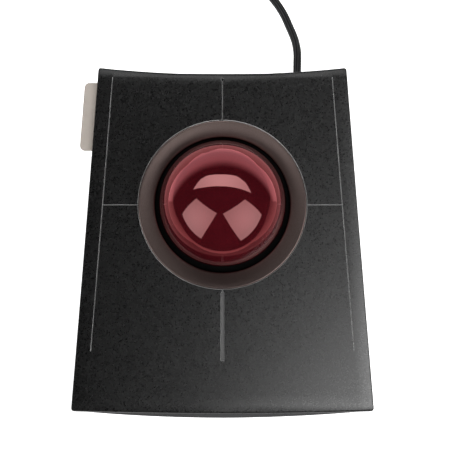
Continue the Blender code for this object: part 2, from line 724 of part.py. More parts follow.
def make_switch(row, side_name, body_mat, plunger_mat):
    """A snap switch and its plunger, which sits in a pocket in the switch's top."""
    side = 1 if side_name == "right" else -1
    seat = switch_place(row, side)
    top = seat.z + SWITCH_SIZE[2]
    bm = bmesh.new()
    add_box(bm, (seat.x, seat.y, seat.z + SWITCH_SIZE[2] / 2), SWITCH_SIZE)
    body = finish_object(f"switch_{row}_{side_name}", bm, body_mat, smooth=False)
    bm = bmesh.new()
    add_box(bm, (seat.x, seat.y, top), (PLUNGER_SIZE[0] + 2 * GAP, PLUNGER_SIZE[1] + 2 * GAP,
                                        2 * (PLUNGER_SUNK + POCKET_EASE)))
    boolean(body, finish_object(f"pocket_{row}_{side_name}", bm, smooth=False), "DIFFERENCE")
    bm = bmesh.new()
    add_box(bm, (seat.x, seat.y, top + (PLUNGER_PROUD - PLUNGER_SUNK) / 2),
            (*PLUNGER_SIZE, PLUNGER_PROUD + PLUNGER_SUNK))
    finish_object(f"switch_plunger_{row}_{side_name}", bm, plunger_mat, smooth=False)


# ---------------------------------------------------------------- cord
def smooth_path(points, spacing):
    """Points about spacing apart on a smooth curve through the given ones."""
    knots = [Vector(p) for p in points]
    knots = [2 * knots[0] - knots[1]] + knots + [2 * knots[-1] - knots[-2]]
    path = [knots[1]]
    for a, b, c, d in zip(knots, knots[1:], knots[2:], knots[3:]):
        parts = max(1, round((c - b).length / spacing))
        for part in range(1, parts + 1):
            t = part / parts
            path.append(0.5 * (2 * b + (c - a) * t + (2 * a - 5 * b + 4 * c - d) * t ** 2
                               + (3 * b - a - 3 * c + d) * t ** 3))
    return path


def make_tube(name, points, radius, mat):
    curve = bpy.data.curves.new(name, "CURVE")
    curve.dimensions = "3D"
    curve.bevel_depth = radius
    curve.bevel_resolution = 2
    curve.use_fill_caps = True
    spline = curve.splines.new("POLY")
    spline.points.add(len(points) - 1)
    for place, point in zip(spline.points, points):
        place.co = (*point, 1.0)
    curve.materials.append(mat)
    tube = bpy.data.objects.new(name, curve)
    bpy.context.scene.collection.objects.link(tube)
    return tube


def make_relief(mat):
    """The strain relief: a clip inside the rear wall and a taper outside it."""
    place = Matrix.Translation(CORD_EXIT) @ Matrix.Rotation(math.radians(-90), 4, "X")
    clip_out = RELIEF_CLIP - RELIEF_IN
    profile = [(0, -RELIEF_IN), (RELIEF_CLIP_R, -RELIEF_IN), (RELIEF_CLIP_R, clip_out),
               (RELIEF_NECK_R, clip_out), (RELIEF_NECK_R, 0.0010), (0.0030, 0.0040),
               (0.0026, RELIEF_OUT - 0.0006),
               (0.0022, RELIEF_OUT), (0, RELIEF_OUT)]
    bm = bmesh.new()
    add_turned(bm, profile, 16, place, closed=False)
    return finish_object("strain_relief", bm, mat)


def make_inner_lead(mat):
    """The cord's sheath inside the case, from the strain relief to the plug on the board."""
    start = CORD_EXIT - Vector((0, RELIEF_IN + GAP, 0))
    header_top = BOARD_Z + BOARD_THICK + GAP + HEADER_SIZE[2]
    route = [start, (0.0336, 0.0600, 0.0122), (0.0341, 0.0540, 0.0135), (0.0353, 0.0480, 0.0155),
             (0.0373, 0.0420, 0.0178), (0.0386, 0.0378, 0.0180),
             (*HEADER_AT, header_top + INNER_LEAD_R)]
    return make_tube("inner_lead", smooth_path(route, 0.0035), INNER_LEAD_R, mat)


def coil_frame():
    """Height of the coil's underside and of its top."""
    return COIL_LIFT, COIL_LIFT + 2 * CORD_R * COIL_LAYERS


def make_coil(mat):
    """Outer shape of the wound cord: a turned ring with rounded edges."""
    low, high = coil_frame()
    inner, outer = COIL_INNER_R - CORD_R, COIL_OUTER_R + CORD_R
    soft = CORD_R
    corners = [(inner, low), (outer, low), (outer, high), (inner, high)]
    profile = rounded_polygon(corners, soft, steps=3, spacing=0.2)
    bm = bmesh.new()
    add_turned(bm, profile, 48, Matrix.Translation(COIL_CENTRE))
    return finish_object("cord_coil", bm, mat)


def make_tie(mat):
    """A flat band closed round one side of the coil."""
    low, high = coil_frame()
    bulge = (TIE_WIDTH / 2) ** 2 / (2 * (COIL_INNER_R - CORD_R))    # the coil curves inside the flat band
    inner, outer = COIL_INNER_R - CORD_R - GAP - bulge, COIL_OUTER_R + CORD_R + GAP
    turn = Matrix.Rotation(TIE_TURN, 4, "Z")
    place = Matrix.Translation(COIL_CENTRE) @ turn
    outlines = []
    for grow, corner in zip((0.0, TIE_THICK), TIE_CORNERS):
        left, right = inner - grow, outer + grow
        under, over = low - GAP - grow, high + GAP + grow
        corners = [(left, under), (right, under), (right, over), (left, over)]
        outlines.append(rounded_polygon(corners, corner, steps=3, spacing=0.2))
    bm = bmesh.new()
    loops = []
    for half in (-TIE_WIDTH / 2, TIE_WIDTH / 2):
        for outline in outlines:
            loops.append([bm.verts.new(place @ Vector((r, half, z))) for r, z in outline])
    pairs = ((loops[0], loops[1]), (loops[1], loops[3]), (loops[3], loops[2]), (loops[2], loops[0]))
    for first, second in pairs:
        for i in range(len(first)):
            bm.faces.new((first[i - 1], first[i], second[i], second[i - 1]))
    return finish_object("coil_tie", bm, mat)


def plug_place():
    """The plug's own frame: X along the plug, from the cord to the contacts."""
    _, high = coil_frame()
    height = high + GAP + PLUG_BODY[2] / 2
    return (Matrix.Translation(COIL_CENTRE) @ Matrix.Rotation(PLUG_TURN, 4, "Z")
            @ Matrix.Translation((0, PLUG_CHORD, height)) @ Matrix.Rotation(math.pi, 4, "Z"))


def tail_route():
    """The last stretch, above the coil's top: it turns in to the plug."""
    _, high = coil_frame()
    clear = high + CORD_R + GAP
    centre = high + GAP + PLUG_BODY[2] / 2
    radius = PLUG_CHORD
    turn = Matrix.Translation(COIL_CENTRE) @ Matrix.Rotation(PLUG_TURN, 4, "Z")
    points = []
    for degrees in (20, 35, 50, 65, 80, 90):
        angle = math.radians(degrees)
        height = clear + (centre - clear) * (degrees - 20) / 70
        across = COIL_OUTER_R - radius + radius * math.cos(angle)
        points.append(turn @ Vector((across, radius * math.sin(angle), height)))
    points.append(turn @ Vector((COIL_OUTER_R - radius - PLUG_LEAD, radius, centre)))
    return points


def make_plug(body_mat, shell_mat):
    """The moulded grip and the flat metal shell of the plug."""
    place = plug_place()
    start = -(COIL_OUTER_R - PLUG_CHORD) + PLUG_LEAD + GAP
    length = PLUG_BODY[0]
    bm = bmesh.new()
    add_box(bm, Vector((start + length / 2, 0, 0)), PLUG_BODY)
    bmesh.ops.bevel(bm, geom=bm.edges[:], offset=PLUG_EDGE, segments=2, affect="EDGES")
    bmesh.ops.transform(bm, matrix=place, verts=bm.verts[:])
    finish_object("usb_plug_grip", bm, body_mat)
    shell_start = start + length + GAP
    bm = bmesh.new()
    add_box(bm, Vector((shell_start + PLUG_SHELL[0] / 2, 0, 0)), PLUG_SHELL)
    bmesh.ops.transform(bm, matrix=place, verts=bm.verts[:])
    shell = finish_object("usb_plug_shell", bm, shell_mat, smooth=False)
    bm = bmesh.new()
    middle = Vector((shell_start + PLUG_SHELL[0] / 2 + SHELL_BACK, 0,
                     -PLUG_SHELL[2] / 2 + SHELL_WALL + SHELL_MOUTH / 2))
    add_box(bm, middle, (PLUG_SHELL[0], PLUG_SHELL[1] - 2 * SHELL_WALL, SHELL_MOUTH))
    bmesh.ops.transform(bm, matrix=place, verts=bm.verts[:])
    boolean(shell, finish_object("plug_mouth", bm, smooth=False), "DIFFERENCE")


# ---------------------------------------------------------------- assembly
def main():
    clear_scene()
    black = material("cover_black", (0.030, 0.030, 0.032), 0.38, 0.3)
    case_grey = material("case_black", (0.055, 0.055, 0.058), 0.50)
    bronze = material("ring_bronze", (0.110, 0.085, 0.078), 0.32, 0.8)
    red = material("ball_red", (0.190, 0.008, 0.018), 0.08)
    cup_black = material("cup_black", (0.020, 0.020, 0.020), 0.45)
    steel = material("bearing_steel", (0.62, 0.62, 0.62), 0.15, 1.0)
    screw_steel = material("screw_steel", (0.40, 0.40, 0.40), 0.30, 1.0)
    rubber = material("foot_rubber", (0.030, 0.030, 0.030), 0.85)
    board_green = material("board_green", (0.010, 0.120, 0.050), 0.45)
    chip_black = material("chip_black", (0.015, 0.015, 0.016), 0.40)
    lens_clear = material("lens_clear", (0.60, 0.62, 0.64), 0.05)
    header_white = material("header_white", (0.70, 0.69, 0.64), 0.50)
    switch_black = material("switch_black", (0.025, 0.025, 0.026), 0.42)
    plunger_white = material("plunger_white", (0.72, 0.70, 0.66), 0.40)
    tab_grey = material("tab_grey", (0.60, 0.55, 0.50), 0.60)
    cord_black = material("cord_black", (0.018, 0.018, 0.020), 0.60)
    tie_black = material("tie_black", (0.025, 0.025, 0.025), 0.80)

    make_case(case_grey)
    make_cover(black)
    for row in ("lower", "upper"):
        for side_name in ("left", "right"):
            make_plate(row, side_name, black)
            make_switch(row, side_name, switch_black, plunger_white)
    make_ring(bronze)
    make_ball(red)
    make_cup(cup_black)
    make_bearings(steel)
    make_sensors(chip_black, lens_clear, board_green)
    make_board(board_green)
    make_board_parts(chip_black, header_white)
    make_screws(screw_steel)
    make_feet(rubber)
    make_tab(tab_grey)
    make_relief(cord_black)
    make_inner_lead(cord_black)
    make_tube("cord_lead", smooth_path(CORD_ROUTE, 0.0055), CORD_R, cord_black)
    make_coil(cord_black)
    make_tie(tie_black)
    make_tube("cord_tail", smooth_path(tail_route(), 0.0040), CORD_R, cord_black)
    make_plug(cord_black, steel)


main()
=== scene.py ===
import math

import bmesh
import bpy
from mathutils import Matrix, Vector


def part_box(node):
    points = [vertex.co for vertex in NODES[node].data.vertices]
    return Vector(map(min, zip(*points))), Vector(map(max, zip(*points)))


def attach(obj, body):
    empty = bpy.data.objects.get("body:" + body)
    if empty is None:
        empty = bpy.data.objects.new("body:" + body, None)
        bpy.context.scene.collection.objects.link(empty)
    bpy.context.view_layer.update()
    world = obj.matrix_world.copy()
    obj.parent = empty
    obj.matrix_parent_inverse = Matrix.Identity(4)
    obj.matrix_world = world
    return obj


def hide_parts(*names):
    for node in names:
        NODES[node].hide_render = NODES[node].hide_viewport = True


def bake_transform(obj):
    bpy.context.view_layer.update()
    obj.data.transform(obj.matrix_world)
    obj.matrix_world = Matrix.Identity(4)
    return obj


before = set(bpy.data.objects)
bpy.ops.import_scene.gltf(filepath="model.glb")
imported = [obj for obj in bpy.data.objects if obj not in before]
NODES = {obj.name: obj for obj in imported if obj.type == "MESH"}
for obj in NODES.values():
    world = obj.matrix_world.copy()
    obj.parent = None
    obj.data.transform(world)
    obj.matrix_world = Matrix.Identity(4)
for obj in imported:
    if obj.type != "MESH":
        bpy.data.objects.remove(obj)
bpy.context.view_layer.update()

# ---------------------------- driving dimensions (metres)
BALL_LOW, BALL_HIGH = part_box("ball")
BALL_CENTRE = (BALL_LOW + BALL_HIGH) / 2
BALL_R = (BALL_HIGH.z - BALL_LOW.z) / 2
BALL_Y = BALL_CENTRE.y

FRONT_HALF_WIDTH = 0.0663
REAR_HALF_WIDTH = 0.0542
FRONT_CORNER_Y = -0.07175
REAR_CORNER_Y = 0.07475
FRONT_BOW = 0.0011
REAR_BOW = 0.0028
CORNER_R = 0.0012
PLANE_Z = 0.0273
TOP_SLOPE = 0.236
TOP_CURVE = 0.27
ROLL_WIDTH = 0.0050
ROLL_DROP = 0.0008
FRONT_ROLL_WIDTH = 0.0030
FRONT_ROLL_DROP = 0.0004
TILT = math.atan(TOP_SLOPE)
COVER_THICK = 0.0020
OUTLINE_SPACING = 0.004  # between points of the cover's outline

SLIT = 0.00018  # width of the gap at the foot of a slit's light chamfers
SLIT_CHAMFER = 0.00022
RIM_GAP = 0.00022  # between the ring and the cover
RIM_CHAMFER = 0.00020
SLIT_INSET = 0.0066
SIDE_SLIT_FRONT_Y = -0.0461
SIDE_SLIT_REAR_Y = 0.0702
TOP_SLIT_REAR_Y = 0.0694
SLIT_END_HOLE_R = 0.00065
FRONT_SLOT = 0.0014
FRONT_SLOT_Y = -0.0503
FRONT_SLOT_TOP = 0.0012  # from the ring hole to the slot's rounded end
FRONT_SLOT_DEPTH = 0.0006

CLEAR = 0.0003  # between neighbouring pieces
HAIR = 0.00001  # keeps two faces from coinciding
CUTTER_REACH = 0.010  # how far a cutter stands out of the cover on either side
CUTTER_STAGGER = 0.001  # keeps the ends of crossing cutters out of one plane
SLIT_OVERLAP = 0.002  # how far a slit's cutter runs into the ring's hole
SLIT_END_HOLE_SIDES = 12
RING_HOLE_SIDES = 144
COVER_EDGE_R = 0.0007
COVER_SMOOTH = 32.0  # degrees below which an edge of the cover is shaded smooth
SLICE_FRONT_Y = -0.072  # the flat shell is sliced across, so that it can be curved
SLICE_STEP = 0.0036
SLICE_FINE_Y = 0.062
SLICE_FINE_STEP = 0.0008
SLICE_REAR_Y = 0.0745
SLOT_FLOOR_GAP = 0.00006
SLOT_FLOOR_THICK = 0.0010
SLOT_FLOOR_STEP = 0.004
SHARP = 60.0  # degrees above which an edge is bevelled
SAME = 1e-7  # points nearer to each other than this count as one
SAME_ON_PATH = 1e-6

RING_R = 0.0367
RING_HOLE_R = 0.0292
RING_PROUD = 0.0006
RING_THICK = 0.0021
RING_DISH = 0.0012  # how far the ring falls towards the ball
RING_LIP = 0.0011
RING_STEP = 0.0006  # the ring's seat is this much narrower than its rim
RING_RIM_TALL = 0.0011
RING_SEAT_DOWN = 0.0013
RING_EDGE_R = 0.00025
RING_RIM_FLAT = 0.0002
RING_LIP_STEEPEST = 78  # degrees
# the rest of the lip, towards the hole, is painted near-black as shade in the gap round the ball
RING_LIP_SHOWN = 0.62  # share of the lip that has the ring's colour
RING_TURN_SIDES = 192

CORD_EXIT = Vector((0.0335, 0.0693, 0.0120))
CORD_EXIT_PLACE = Matrix.Translation(CORD_EXIT) @ Matrix.Rotation(math.radians(-90), 4, "X")
CORD_R = 0.0018
COIL_CENTRE = Vector((-0.0300, 0.1495, 0.0))
COIL_INNER_R = 0.0168
COIL_OUTER_R = 0.0260
COIL_LAYERS = 4
COIL_LIFT = 0.0009
PLUG_CHORD = 0.0130
PLUG_TURN = math.radians(71)
COIL_PER_TURN = 40  # points in each turn
COIL_CLIMB = 0.14  # share of a layer over which the cord climbs to the next
CORD_SIDES = 16
CORD_SPACING = 0.0022  # between the points of its smooth path
TAIL_SPACING = 0.0018
TAIL_FROM, TAIL_TO = 20, 90  # degrees between which the tail climbs to the plug
PLUG_STUB = 0.0016  # how far the tail runs into the plug's grip
BRAID_STRANDS = 5
BRAID_STEP = 0.0011
CORD_ROUTE = [(0.0335, 0.0786, 0.0120), (0.0337, 0.0850, 0.0116), (0.0338, 0.0910, 0.0102),
              (0.0332, 0.0968, 0.0070), (0.0319, 0.1020, 0.0040), (0.0303, 0.1065, 0.0023),
              (0.0284, 0.1112, 0.0018), (0.0258, 0.1158, 0.0018), (0.0226, 0.1202, 0.0018),
              (0.0189, 0.1250, 0.0018), (0.0153, 0.1300, 0.0018), (0.0116, 0.1352, 0.0018),
              (0.0078, 0.1405, 0.0019), (0.0040, 0.1458, 0.0020), (0.0002, 0.1513, 0.0021)]
COIL_START = math.radians(35)  # where the cord meets its outermost turn

CASE_BOTTOM_Z = 0.0012
CASE_FLOOR_THICK = 0.0014
CASE_WALL = 0.0020
CASE_RIM_INSET = 0.0015
CASE_FOOT_INSET = 0.0090
CASE_REAR_Y = 0.0728
CASE_REAR_FOOT_Y = 0.0680
CASE_FRONT_Y = -0.07435
CASE_FOOT_FRONT_Y = CASE_FRONT_Y + 0.0004
CASE_RIM_BOW = 0.0030
CASE_FOOT_BOW = 0.0040
CASE_RIM_CORNER_R = 0.0035
CASE_FOOT_CORNER_R = 0.0045
CASE_FOOT_EDGE = 0.0012
CASE_BELOW = COVER_THICK + 0.0003
CASE_ROWS = 8
CASE_SMOOTH = 16.0
BOSS_R = 0.0034
BOSS_ROOF = 0.0012
BOSS_SINK = 0.0003  # how far a boss starts above the case's underside
SCREW_CLEAR = 0.0002
SCREW_HOLE_R = 0.0012
SCREW_HOLE_DEEP = 0.004
CORD_HOLE_R = 0.0033
CORD_HOLE_HALF = 0.012
PANEL_HALF_WIDTH = 0.023
PANEL_FRONT_Y, PANEL_REAR_Y = -0.028, 0.004
PANEL_CORNER_R = 0.002
PANEL_SINK = 0.0003

TAB_FRONT_Y = 0.0400
TAB_REAR_Y = 0.0688
TAB_OUT = 0.0056
TAB_IN = 0.0050
TAB_THICK = 0.0010
TAB_CORNER_R = 0.0022
TAB_DROP = 0.0026  # from the cover's surface to the tab's
TAB_EDGE_R = 0.00035
TAB_SLOT_CLEAR = 0.0003
TAB_SPACING = 0.003  # between points of its outline

FOOT_EDGE_R = 0.0003
FOOT_GROOVE = 0.00012
FOOT_GROOVE_AT = (0.55, 0.60, 0.65)  # shares of the foot's radius

SCREW_SHANK_R = 0.0010
SCREW_HEAD_TALL = 0.0012
SCREW_CROWN = 0.0003
SCREW_PITCH = 0.0004
SCREW_POINT = 0.0006
SCREW_CROSS_LONG, SCREW_CROSS_WIDE, SCREW_CROSS_DEEP = 0.0024, 0.00055, 0.0014

RELIEF_OUT = 0.0090
RELIEF_IN = 0.0050
RELIEF_FLANGE_R = 0.0045
RELIEF_FLANGE_EDGE = 0.0002
RELIEF_FLANGE_BACK = 0.0036
RELIEF_R = 0.0030
RELIEF_TAPER = 0.0007
RELIEF_RIBS = 5
RELIEF_RIBS_FROM = 0.0014
RELIEF_END_R = 0.0024
RELIEF_END = 0.0012  # left plain beyond the last rib
RELIEF_END_STEP = 0.0001
# one rib: (share of its length, how far it stands out)
RELIEF_RIB = ((0.12, 0), (0.22, 0.00012), (0.62, 0.00012),
              (0.72, 0), (0.78, -0.00035), (0.96, -0.00035))

TIE_TURN = math.radians(-55)
TIE_WIDTH = 0.0060
TIE_THICK = 0.0006
TIE_CORNER_R = 0.0014
TIE_OUTER_CORNER_R = 0.0020
TIE_LAP_START = 0.0022
TIE_LAP_END = 0.0075
TIE_SPACING = 0.0012  # between points of its outline

PLUG_BODY = (0.0230, 0.0150, 0.0080)  # long, wide, tall
PLUG_SHELL = (0.0120, 0.0120, 0.0045)
PLUG_LEAD = 0.0016
PLUG_EDGE_R = 0.0014
PLUG_GROOVES = 5
PLUG_GROOVE_STEP = 0.0018
PLUG_GROOVE_FROM = 0.0045
PLUG_GROOVE = (0.0007, 0.0009)  # wide, deep
PLUG_GROOVE_SHARE = 0.62  # of the grip's height
PLUG_GROOVE_EDGE = 0.00012
PLUG_PANEL = (0.42, 0.50)  # shares of the grip's length and width
PLUG_PANEL_AT = 0.62
PLUG_PANEL_DEEP = 0.0004
SHELL_WALL = 0.00032
SHELL_EDGE_R = 0.0004
SHELL_BACK = 0.0010  # its mouth stops this far from the closed end
WINDOW_ACROSS = 0.0029
WINDOW_AT = 0.0058
WINDOW = (0.0022, 0.0022, 0.0012)
TONGUE_TALL = 0.0018
TONGUE_SHORT = 0.0014  # how much shorter the tongue is than the shell
TONGUE_NARROW = 0.0004
TONGUE_SHIFT = 0.0001
TONGUE_DOWN = 0.0011  # from the shell's roof to the tongue's middle
CONTACT_DOWN = 0.0020
CONTACT_STEP = 0.0023
CONTACT = (0.0011, 0.00012)  # wide, tall
CONTACT_SHORT = 0.0040

CAMERA_RISE = math.radians(76.5)  # above the desk, as seen from the ball
CAMERA_AWAY = 1.0
BALL_IN_VIEW = 0.140178  # the ball's radius as a share of the picture's width
AIM = Vector((0.0011, -0.0095))  # aimed this far right of and above the ball's centre
SENSOR = 36.0

NEAR_LIGHT = 1.15
NEAR_LIGHT_FAR = 0.33
NEAR_RISE = 0.0012
NEAR_HOLE = (0.0402, 0.0480, 0.0063)  # half width, half length, middle
DESK_WARM = (1.0, 0.42, 0.43)
DESK_LIGHT = 1.25
DESK_LIGHT_FAR = 0.55
SWEEP_LIGHT = 1.85
SWEEP_AWAY = 0.80
SWEEP_TOP = 66.0  # degrees off the view's axis at which the backdrop fades out
SWEEP_SAG = 33.0
SWEEP_FOOT = 122.0
SWEEP_FULL = 0.42  # share of its height below which it is fully lit
SWEEP_SIDE_LOSS = 0.45
SWEEP_WARM = (1.0, 0.52, 0.58)
SOFTBOX_EDGE = 0.72
LEFT_CORNERS = [(48.9, 169.6), (20.7, 240.7), (80.9, 238.9), (81.8, 195.3)]
RIGHT_CORNERS = [(41.7, 9.5), (79.7, -16.4), (81.8, -63.9), (18.9, -87.2)]
REAR_CORNERS = [(60.7, 154.7), (43.7, 137.9), (31.1, 95.8), (38.2, 46.8), (57.0, 19.6),
                (57.9, 42.2), (57.1, 62.1), (53.5, 93.4), (59.1, 118.9), (61.0, 132.7)]
NEAR_FADE_POINT = (0, 0.075, 0.03)
NEAR_FADE = (0.03, 0.13)
DESK_FADE = (0.07, 0.30)
DESK_REACH = (-0.27, 0.46, -0.118, 0.55)  # left, right, front and rear of the part the ball mirrors
FLOOR_HALF = 1.6
FLOOR_WHITE = 0.85
WORLD_LIGHT = 0.02
FLAG_AWAY = 1.02  # the flagged copy of a softbox stands this much further off
COVER_LIGHT_LIMIT = 58.0  # degrees off the view's axis; what lights the cover stays within it
# name, corners, distance, strength, strength on the cover
SOFTBOXES = [("softbox_left", LEFT_CORNERS, 1.20, 3.3, 0.35),
             ("softbox_right", RIGHT_CORNERS, 0.33, 3.4, 5.2),
             ("softbox_rear", REAR_CORNERS, 0.26, 4.8, 1.5)]


# ---------------------------- general helpers
def link(obj):
    bpy.context.scene.collection.objects.link(obj)
    return obj


def new_object(name, bm, materials, smooth=40.0, recalc=True):
    if recalc:
        bmesh.ops.recalc_face_normals(bm, faces=bm.faces[:])
    mesh = bpy.data.meshes.new(name)
    bm.to_mesh(mesh)
    bm.free()
    for mat in materials:
        mesh.materials.append(mat)
    mesh.shade_smooth()
    mesh.set_sharp_from_angle(angle=math.radians(smooth))
    return link(bpy.data.objects.new(name, mesh))


def apply_modifiers(obj):
    """Replaces an object's mesh with what its modifiers make of it."""
    graph = bpy.context.evaluated_depsgraph_get()
    mesh = bpy.data.meshes.new_from_object(obj.evaluated_get(graph))
    obj.modifiers.clear()
    obj.data = mesh


def bevel(obj, width, segments, material=-1):
    mod = obj.modifiers.new("bevel", "BEVEL")
    mod.width = width
    mod.segments = segments
    mod.limit_method = "ANGLE"
    mod.angle_limit = math.radians(SHARP)
    mod.material = material
    mod.use_clamp_overlap = True
    apply_modifiers(obj)


def cut(obj, tool, operation="DIFFERENCE"):
    mod = obj.modifiers.new("cut", "BOOLEAN")
    mod.operation = operation
    mod.object = tool
    mod.solver = "EXACT"
    mod.use_self = True
    apply_modifiers(obj)
    bpy.data.objects.remove(tool, do_unlink=True)


def add_turned(bm, profile, sides, place, closed=True):
    """Turns (radius, height) points about Z. Points on the axis become poles."""
    rings = []
    for radius, height in profile:
        if radius < SAME:
            rings.append([bm.verts.new(place @ Vector((0, 0, height)))])
            continue
        angles = [2 * math.pi * step / sides for step in range(sides)]
        rings.append([bm.verts.new(place @ Vector((radius * math.cos(a), radius * math.sin(a), height)))
                      for a in angles])
    pairs = list(zip(rings, rings[1:]))
    if closed:
        pairs.append((rings[-1], rings[0]))
    for first, second in pairs:
        for step in range(sides):
            after = (step + 1) % sides
            corners = [first[step % len(first)], first[after % len(first)],
                       second[after % len(second)], second[step % len(second)]]
            corners = [v for i, v in enumerate(corners) if v is not corners[i - 1]]
            if len(corners) > 2:
                bm.faces.new(corners)


def add_post(bm, radius, low, high, place):
    add_turned(bm, [(0, low), (radius, low), (radius, high), (0, high)], 32, place, closed=False)


def add_prism(bm, outline, low, high):
    lower = [bm.verts.new((x, y, low)) for x, y in outline]
    upper = [bm.verts.new((x, y, high)) for x, y in outline]
    bm.faces.new(lower)
    bm.faces.new(upper)
    for i in range(len(outline)):
        bm.faces.new((lower[i - 1], lower[i], upper[i], upper[i - 1]))


def add_box(bm, centre, size, place=Matrix()):
    matrix = place @ Matrix.Translation(centre) @ Matrix.Diagonal((*size, 1.0))
    return bmesh.ops.create_cube(bm, size=1.0, matrix=matrix)["verts"]


def arc_points(radius, start, end, steps, centre=(0.0, 0.0)):
    """(x, y) points on a circle, angles in degrees."""
    points = []
    for step in range(steps + 1):
        angle = math.radians(start + (end - start) * step / steps)
        points.append((centre[0] + radius * math.cos(angle), centre[1] + radius * math.sin(angle)))
    return points


def circle_points(radius, sides, centre=(0.0, 0.0)):
    return arc_points(radius, 0, 360 - 360 / sides, sides - 1, centre)


def rounded_polygon(corners, radius, steps=3, spacing=0.012, parts=0):
    """(x, y) points round a polygon, its corners rounded and its sides divided evenly."""
    count = len(corners)
    arcs = []
    for i in range(count):
        corner = Vector(corners[i])
        before = (Vector(corners[i - 1]) - corner).normalized()
        after = (Vector(corners[(i + 1) % count]) - corner).normalized()
        half = before.angle(after) / 2
        reach = radius / math.tan(half)
        centre = corner + (before + after).normalized() * (radius / math.sin(half))
        start, end = corner + before * reach, corner + after * reach
        arc = []
        for step in range(steps + 1):
            along = (start - centre).lerp(end - centre, step / steps)
            arc.append(centre + along.normalized() * radius)
        arcs.append(arc)
    points = []
    for i in range(count):
        points.extend(arcs[i])
        start, end = arcs[i][-1], arcs[(i + 1) % count][0]
        splits = parts or max(1, round((end - start).length / spacing))
        points.extend(start.lerp(end, part / splits) for part in range(1, splits))
    return [(p.x, p.y) for p in points]


def smooth_path(points, spacing):
    """Points about spacing apart on a smooth curve through the given ones."""
    knots = [Vector(p) for p in points]
    knots = [2 * knots[0] - knots[1]] + knots + [2 * knots[-1] - knots[-2]]
    path = [knots[1]]
    for a, b, c, d in zip(knots, knots[1:], knots[2:], knots[3:]):
        parts = max(1, round((c - b).length / spacing))
        for part in range(1, parts + 1):
            t = part / parts
            path.append(0.5 * (2 * b + (c - a) * t + (2 * a - 5 * b + 4 * c - d) * t ** 2
                               + (3 * b - a - 3 * c + d) * t ** 3))
    return path


# ---------------------------- materials
class Nodes:
    """Short names for building a node material."""

    def __init__(self, name, colour, roughness, metallic=0.0):
        self.material = bpy.data.materials.new(name)
        self.material.use_nodes = True
        self.tree = self.material.node_tree
        self.shader = self.tree.nodes["Principled BSDF"]
        self.set(base_color=(*colour, 1.0), roughness=roughness, metallic=metallic)
        self.coord = self.add("ShaderNodeTexCoord").outputs["Object"]

    def add(self, kind, **settings):
        node = self.tree.nodes.new(kind)
        for key, value in settings.items():
            setattr(node, key, value)
        return node

    def set(self, **values):
        for key, value in values.items():
            self.shader.inputs[key.replace("_", " ").title().replace("Ior", "IOR")].default_value = value

    def link(self, output, target):
        self.tree.links.new(output, target)

    def noise(self, scale, detail=2.0, rough=0.5):
        node = self.add("ShaderNodeTexNoise")
        node.inputs["Scale"].default_value = scale
        node.inputs["Detail"].default_value = detail
        node.inputs["Roughness"].default_value = rough
        self.link(self.coord, node.inputs["Vector"])
        return node.outputs["Fac"]

    def cells(self, scale):
        """A random grey for each small cell, as metal flake in lacquer has."""
        node = self.add("ShaderNodeTexVoronoi")
        node.inputs["Scale"].default_value = scale
        self.link(self.coord, node.inputs["Vector"])
        return node.outputs["Color"]

    def ramp(self, source, stops):
        """Colour ramp; stops are (place, colour or grey)."""
        node = self.add("ShaderNodeValToRGB")
        ramp = node.color_ramp
        while len(ramp.elements) < len(stops):
            ramp.elements.new(0.5)
        for element, (place, colour) in zip(ramp.elements, stops):
            element.position = place
            if isinstance(colour, (int, float)):
                colour = (colour, colour, colour)
            element.color = (*colour, 1.0)
        self.link(source, node.inputs["Fac"])
        return node.outputs["Color"]

    def bump(self, height, strength, distance):
        node = self.add("ShaderNodeBump")
        node.inputs["Strength"].default_value = strength
        node.inputs["Distance"].default_value = distance
        self.link(height, node.inputs["Height"])
        self.link(node.outputs["Normal"], self.shader.inputs["Normal"])

    def paint(self, source, stops):
        self.link(self.ramp(source, stops), self.shader.inputs["Base Color"])

    def gloss(self, source, stops):
        self.link(self.ramp(source, stops), self.shader.inputs["Roughness"])


def cover_black():
    """Satin black lacquer with a fine metallic speckle."""
    n = Nodes("cover_black", (0.006, 0.006, 0.006), 0.36)
    flake = n.cells(2300)
    n.paint(flake, [(0.25, (0.0008, 0.0008, 0.0009)), (0.60, (0.0045, 0.0045, 0.0045)),
                    (0.90, (0.022, 0.022, 0.022))])
    n.gloss(flake, [(0.2, 0.265), (0.8, 0.375)])
    n.bump(n.noise(1500, 2.0, 0.5), 0.12, 0.00002)
    n.set(specular_ior_level=0.8)
    return n.material


def cut_edge(name, colour):
    """The grey plastic that shows where the lacquer is cut through. On the chamfers of the slits and the
    ring's hole its light grey is partly that plastic and partly a painted highlight.
    """
    n = Nodes(name, (colour, colour, colour), 0.45)
    n.paint(n.noise(1500), [(0.3, colour * 0.88), (0.7, colour * 1.12)])
    n.bump(n.noise(2500, 3.0), 0.2, 0.00003)
    return n.material


def case_black():
    """Fine-textured moulded plastic."""
    n = Nodes("case_black", (0.060, 0.060, 0.062), 0.48)
    grain = n.noise(2400, 3.0, 0.6)
    n.paint(n.noise(60, 3.0), [(0.3, (0.054, 0.054, 0.056)), (0.7, (0.068, 0.068, 0.070))])
    n.gloss(grain, [(0.3, 0.42), (0.7, 0.55)])
    n.bump(grain, 0.4, 0.00006)
    return n.material


def ring_bronze():
    """Brown-grey metallic lacquer with a fine flake."""
    n = Nodes("ring_bronze", (0.17, 0.130, 0.120), 0.30, 1.0)
    flake = n.noise(3200, 2.0, 0.6)
    n.paint(flake, [(0.35, (0.15, 0.113, 0.104)), (0.65, (0.20, 0.153, 0.142))])
    n.gloss(n.noise(1200), [(0.3, 0.31), (0.7, 0.35)])
    n.bump(flake, 0.03, 0.00001)
    n.set(specular_tint=(0.12, 0.10, 0.095, 1.0))
    return n.material


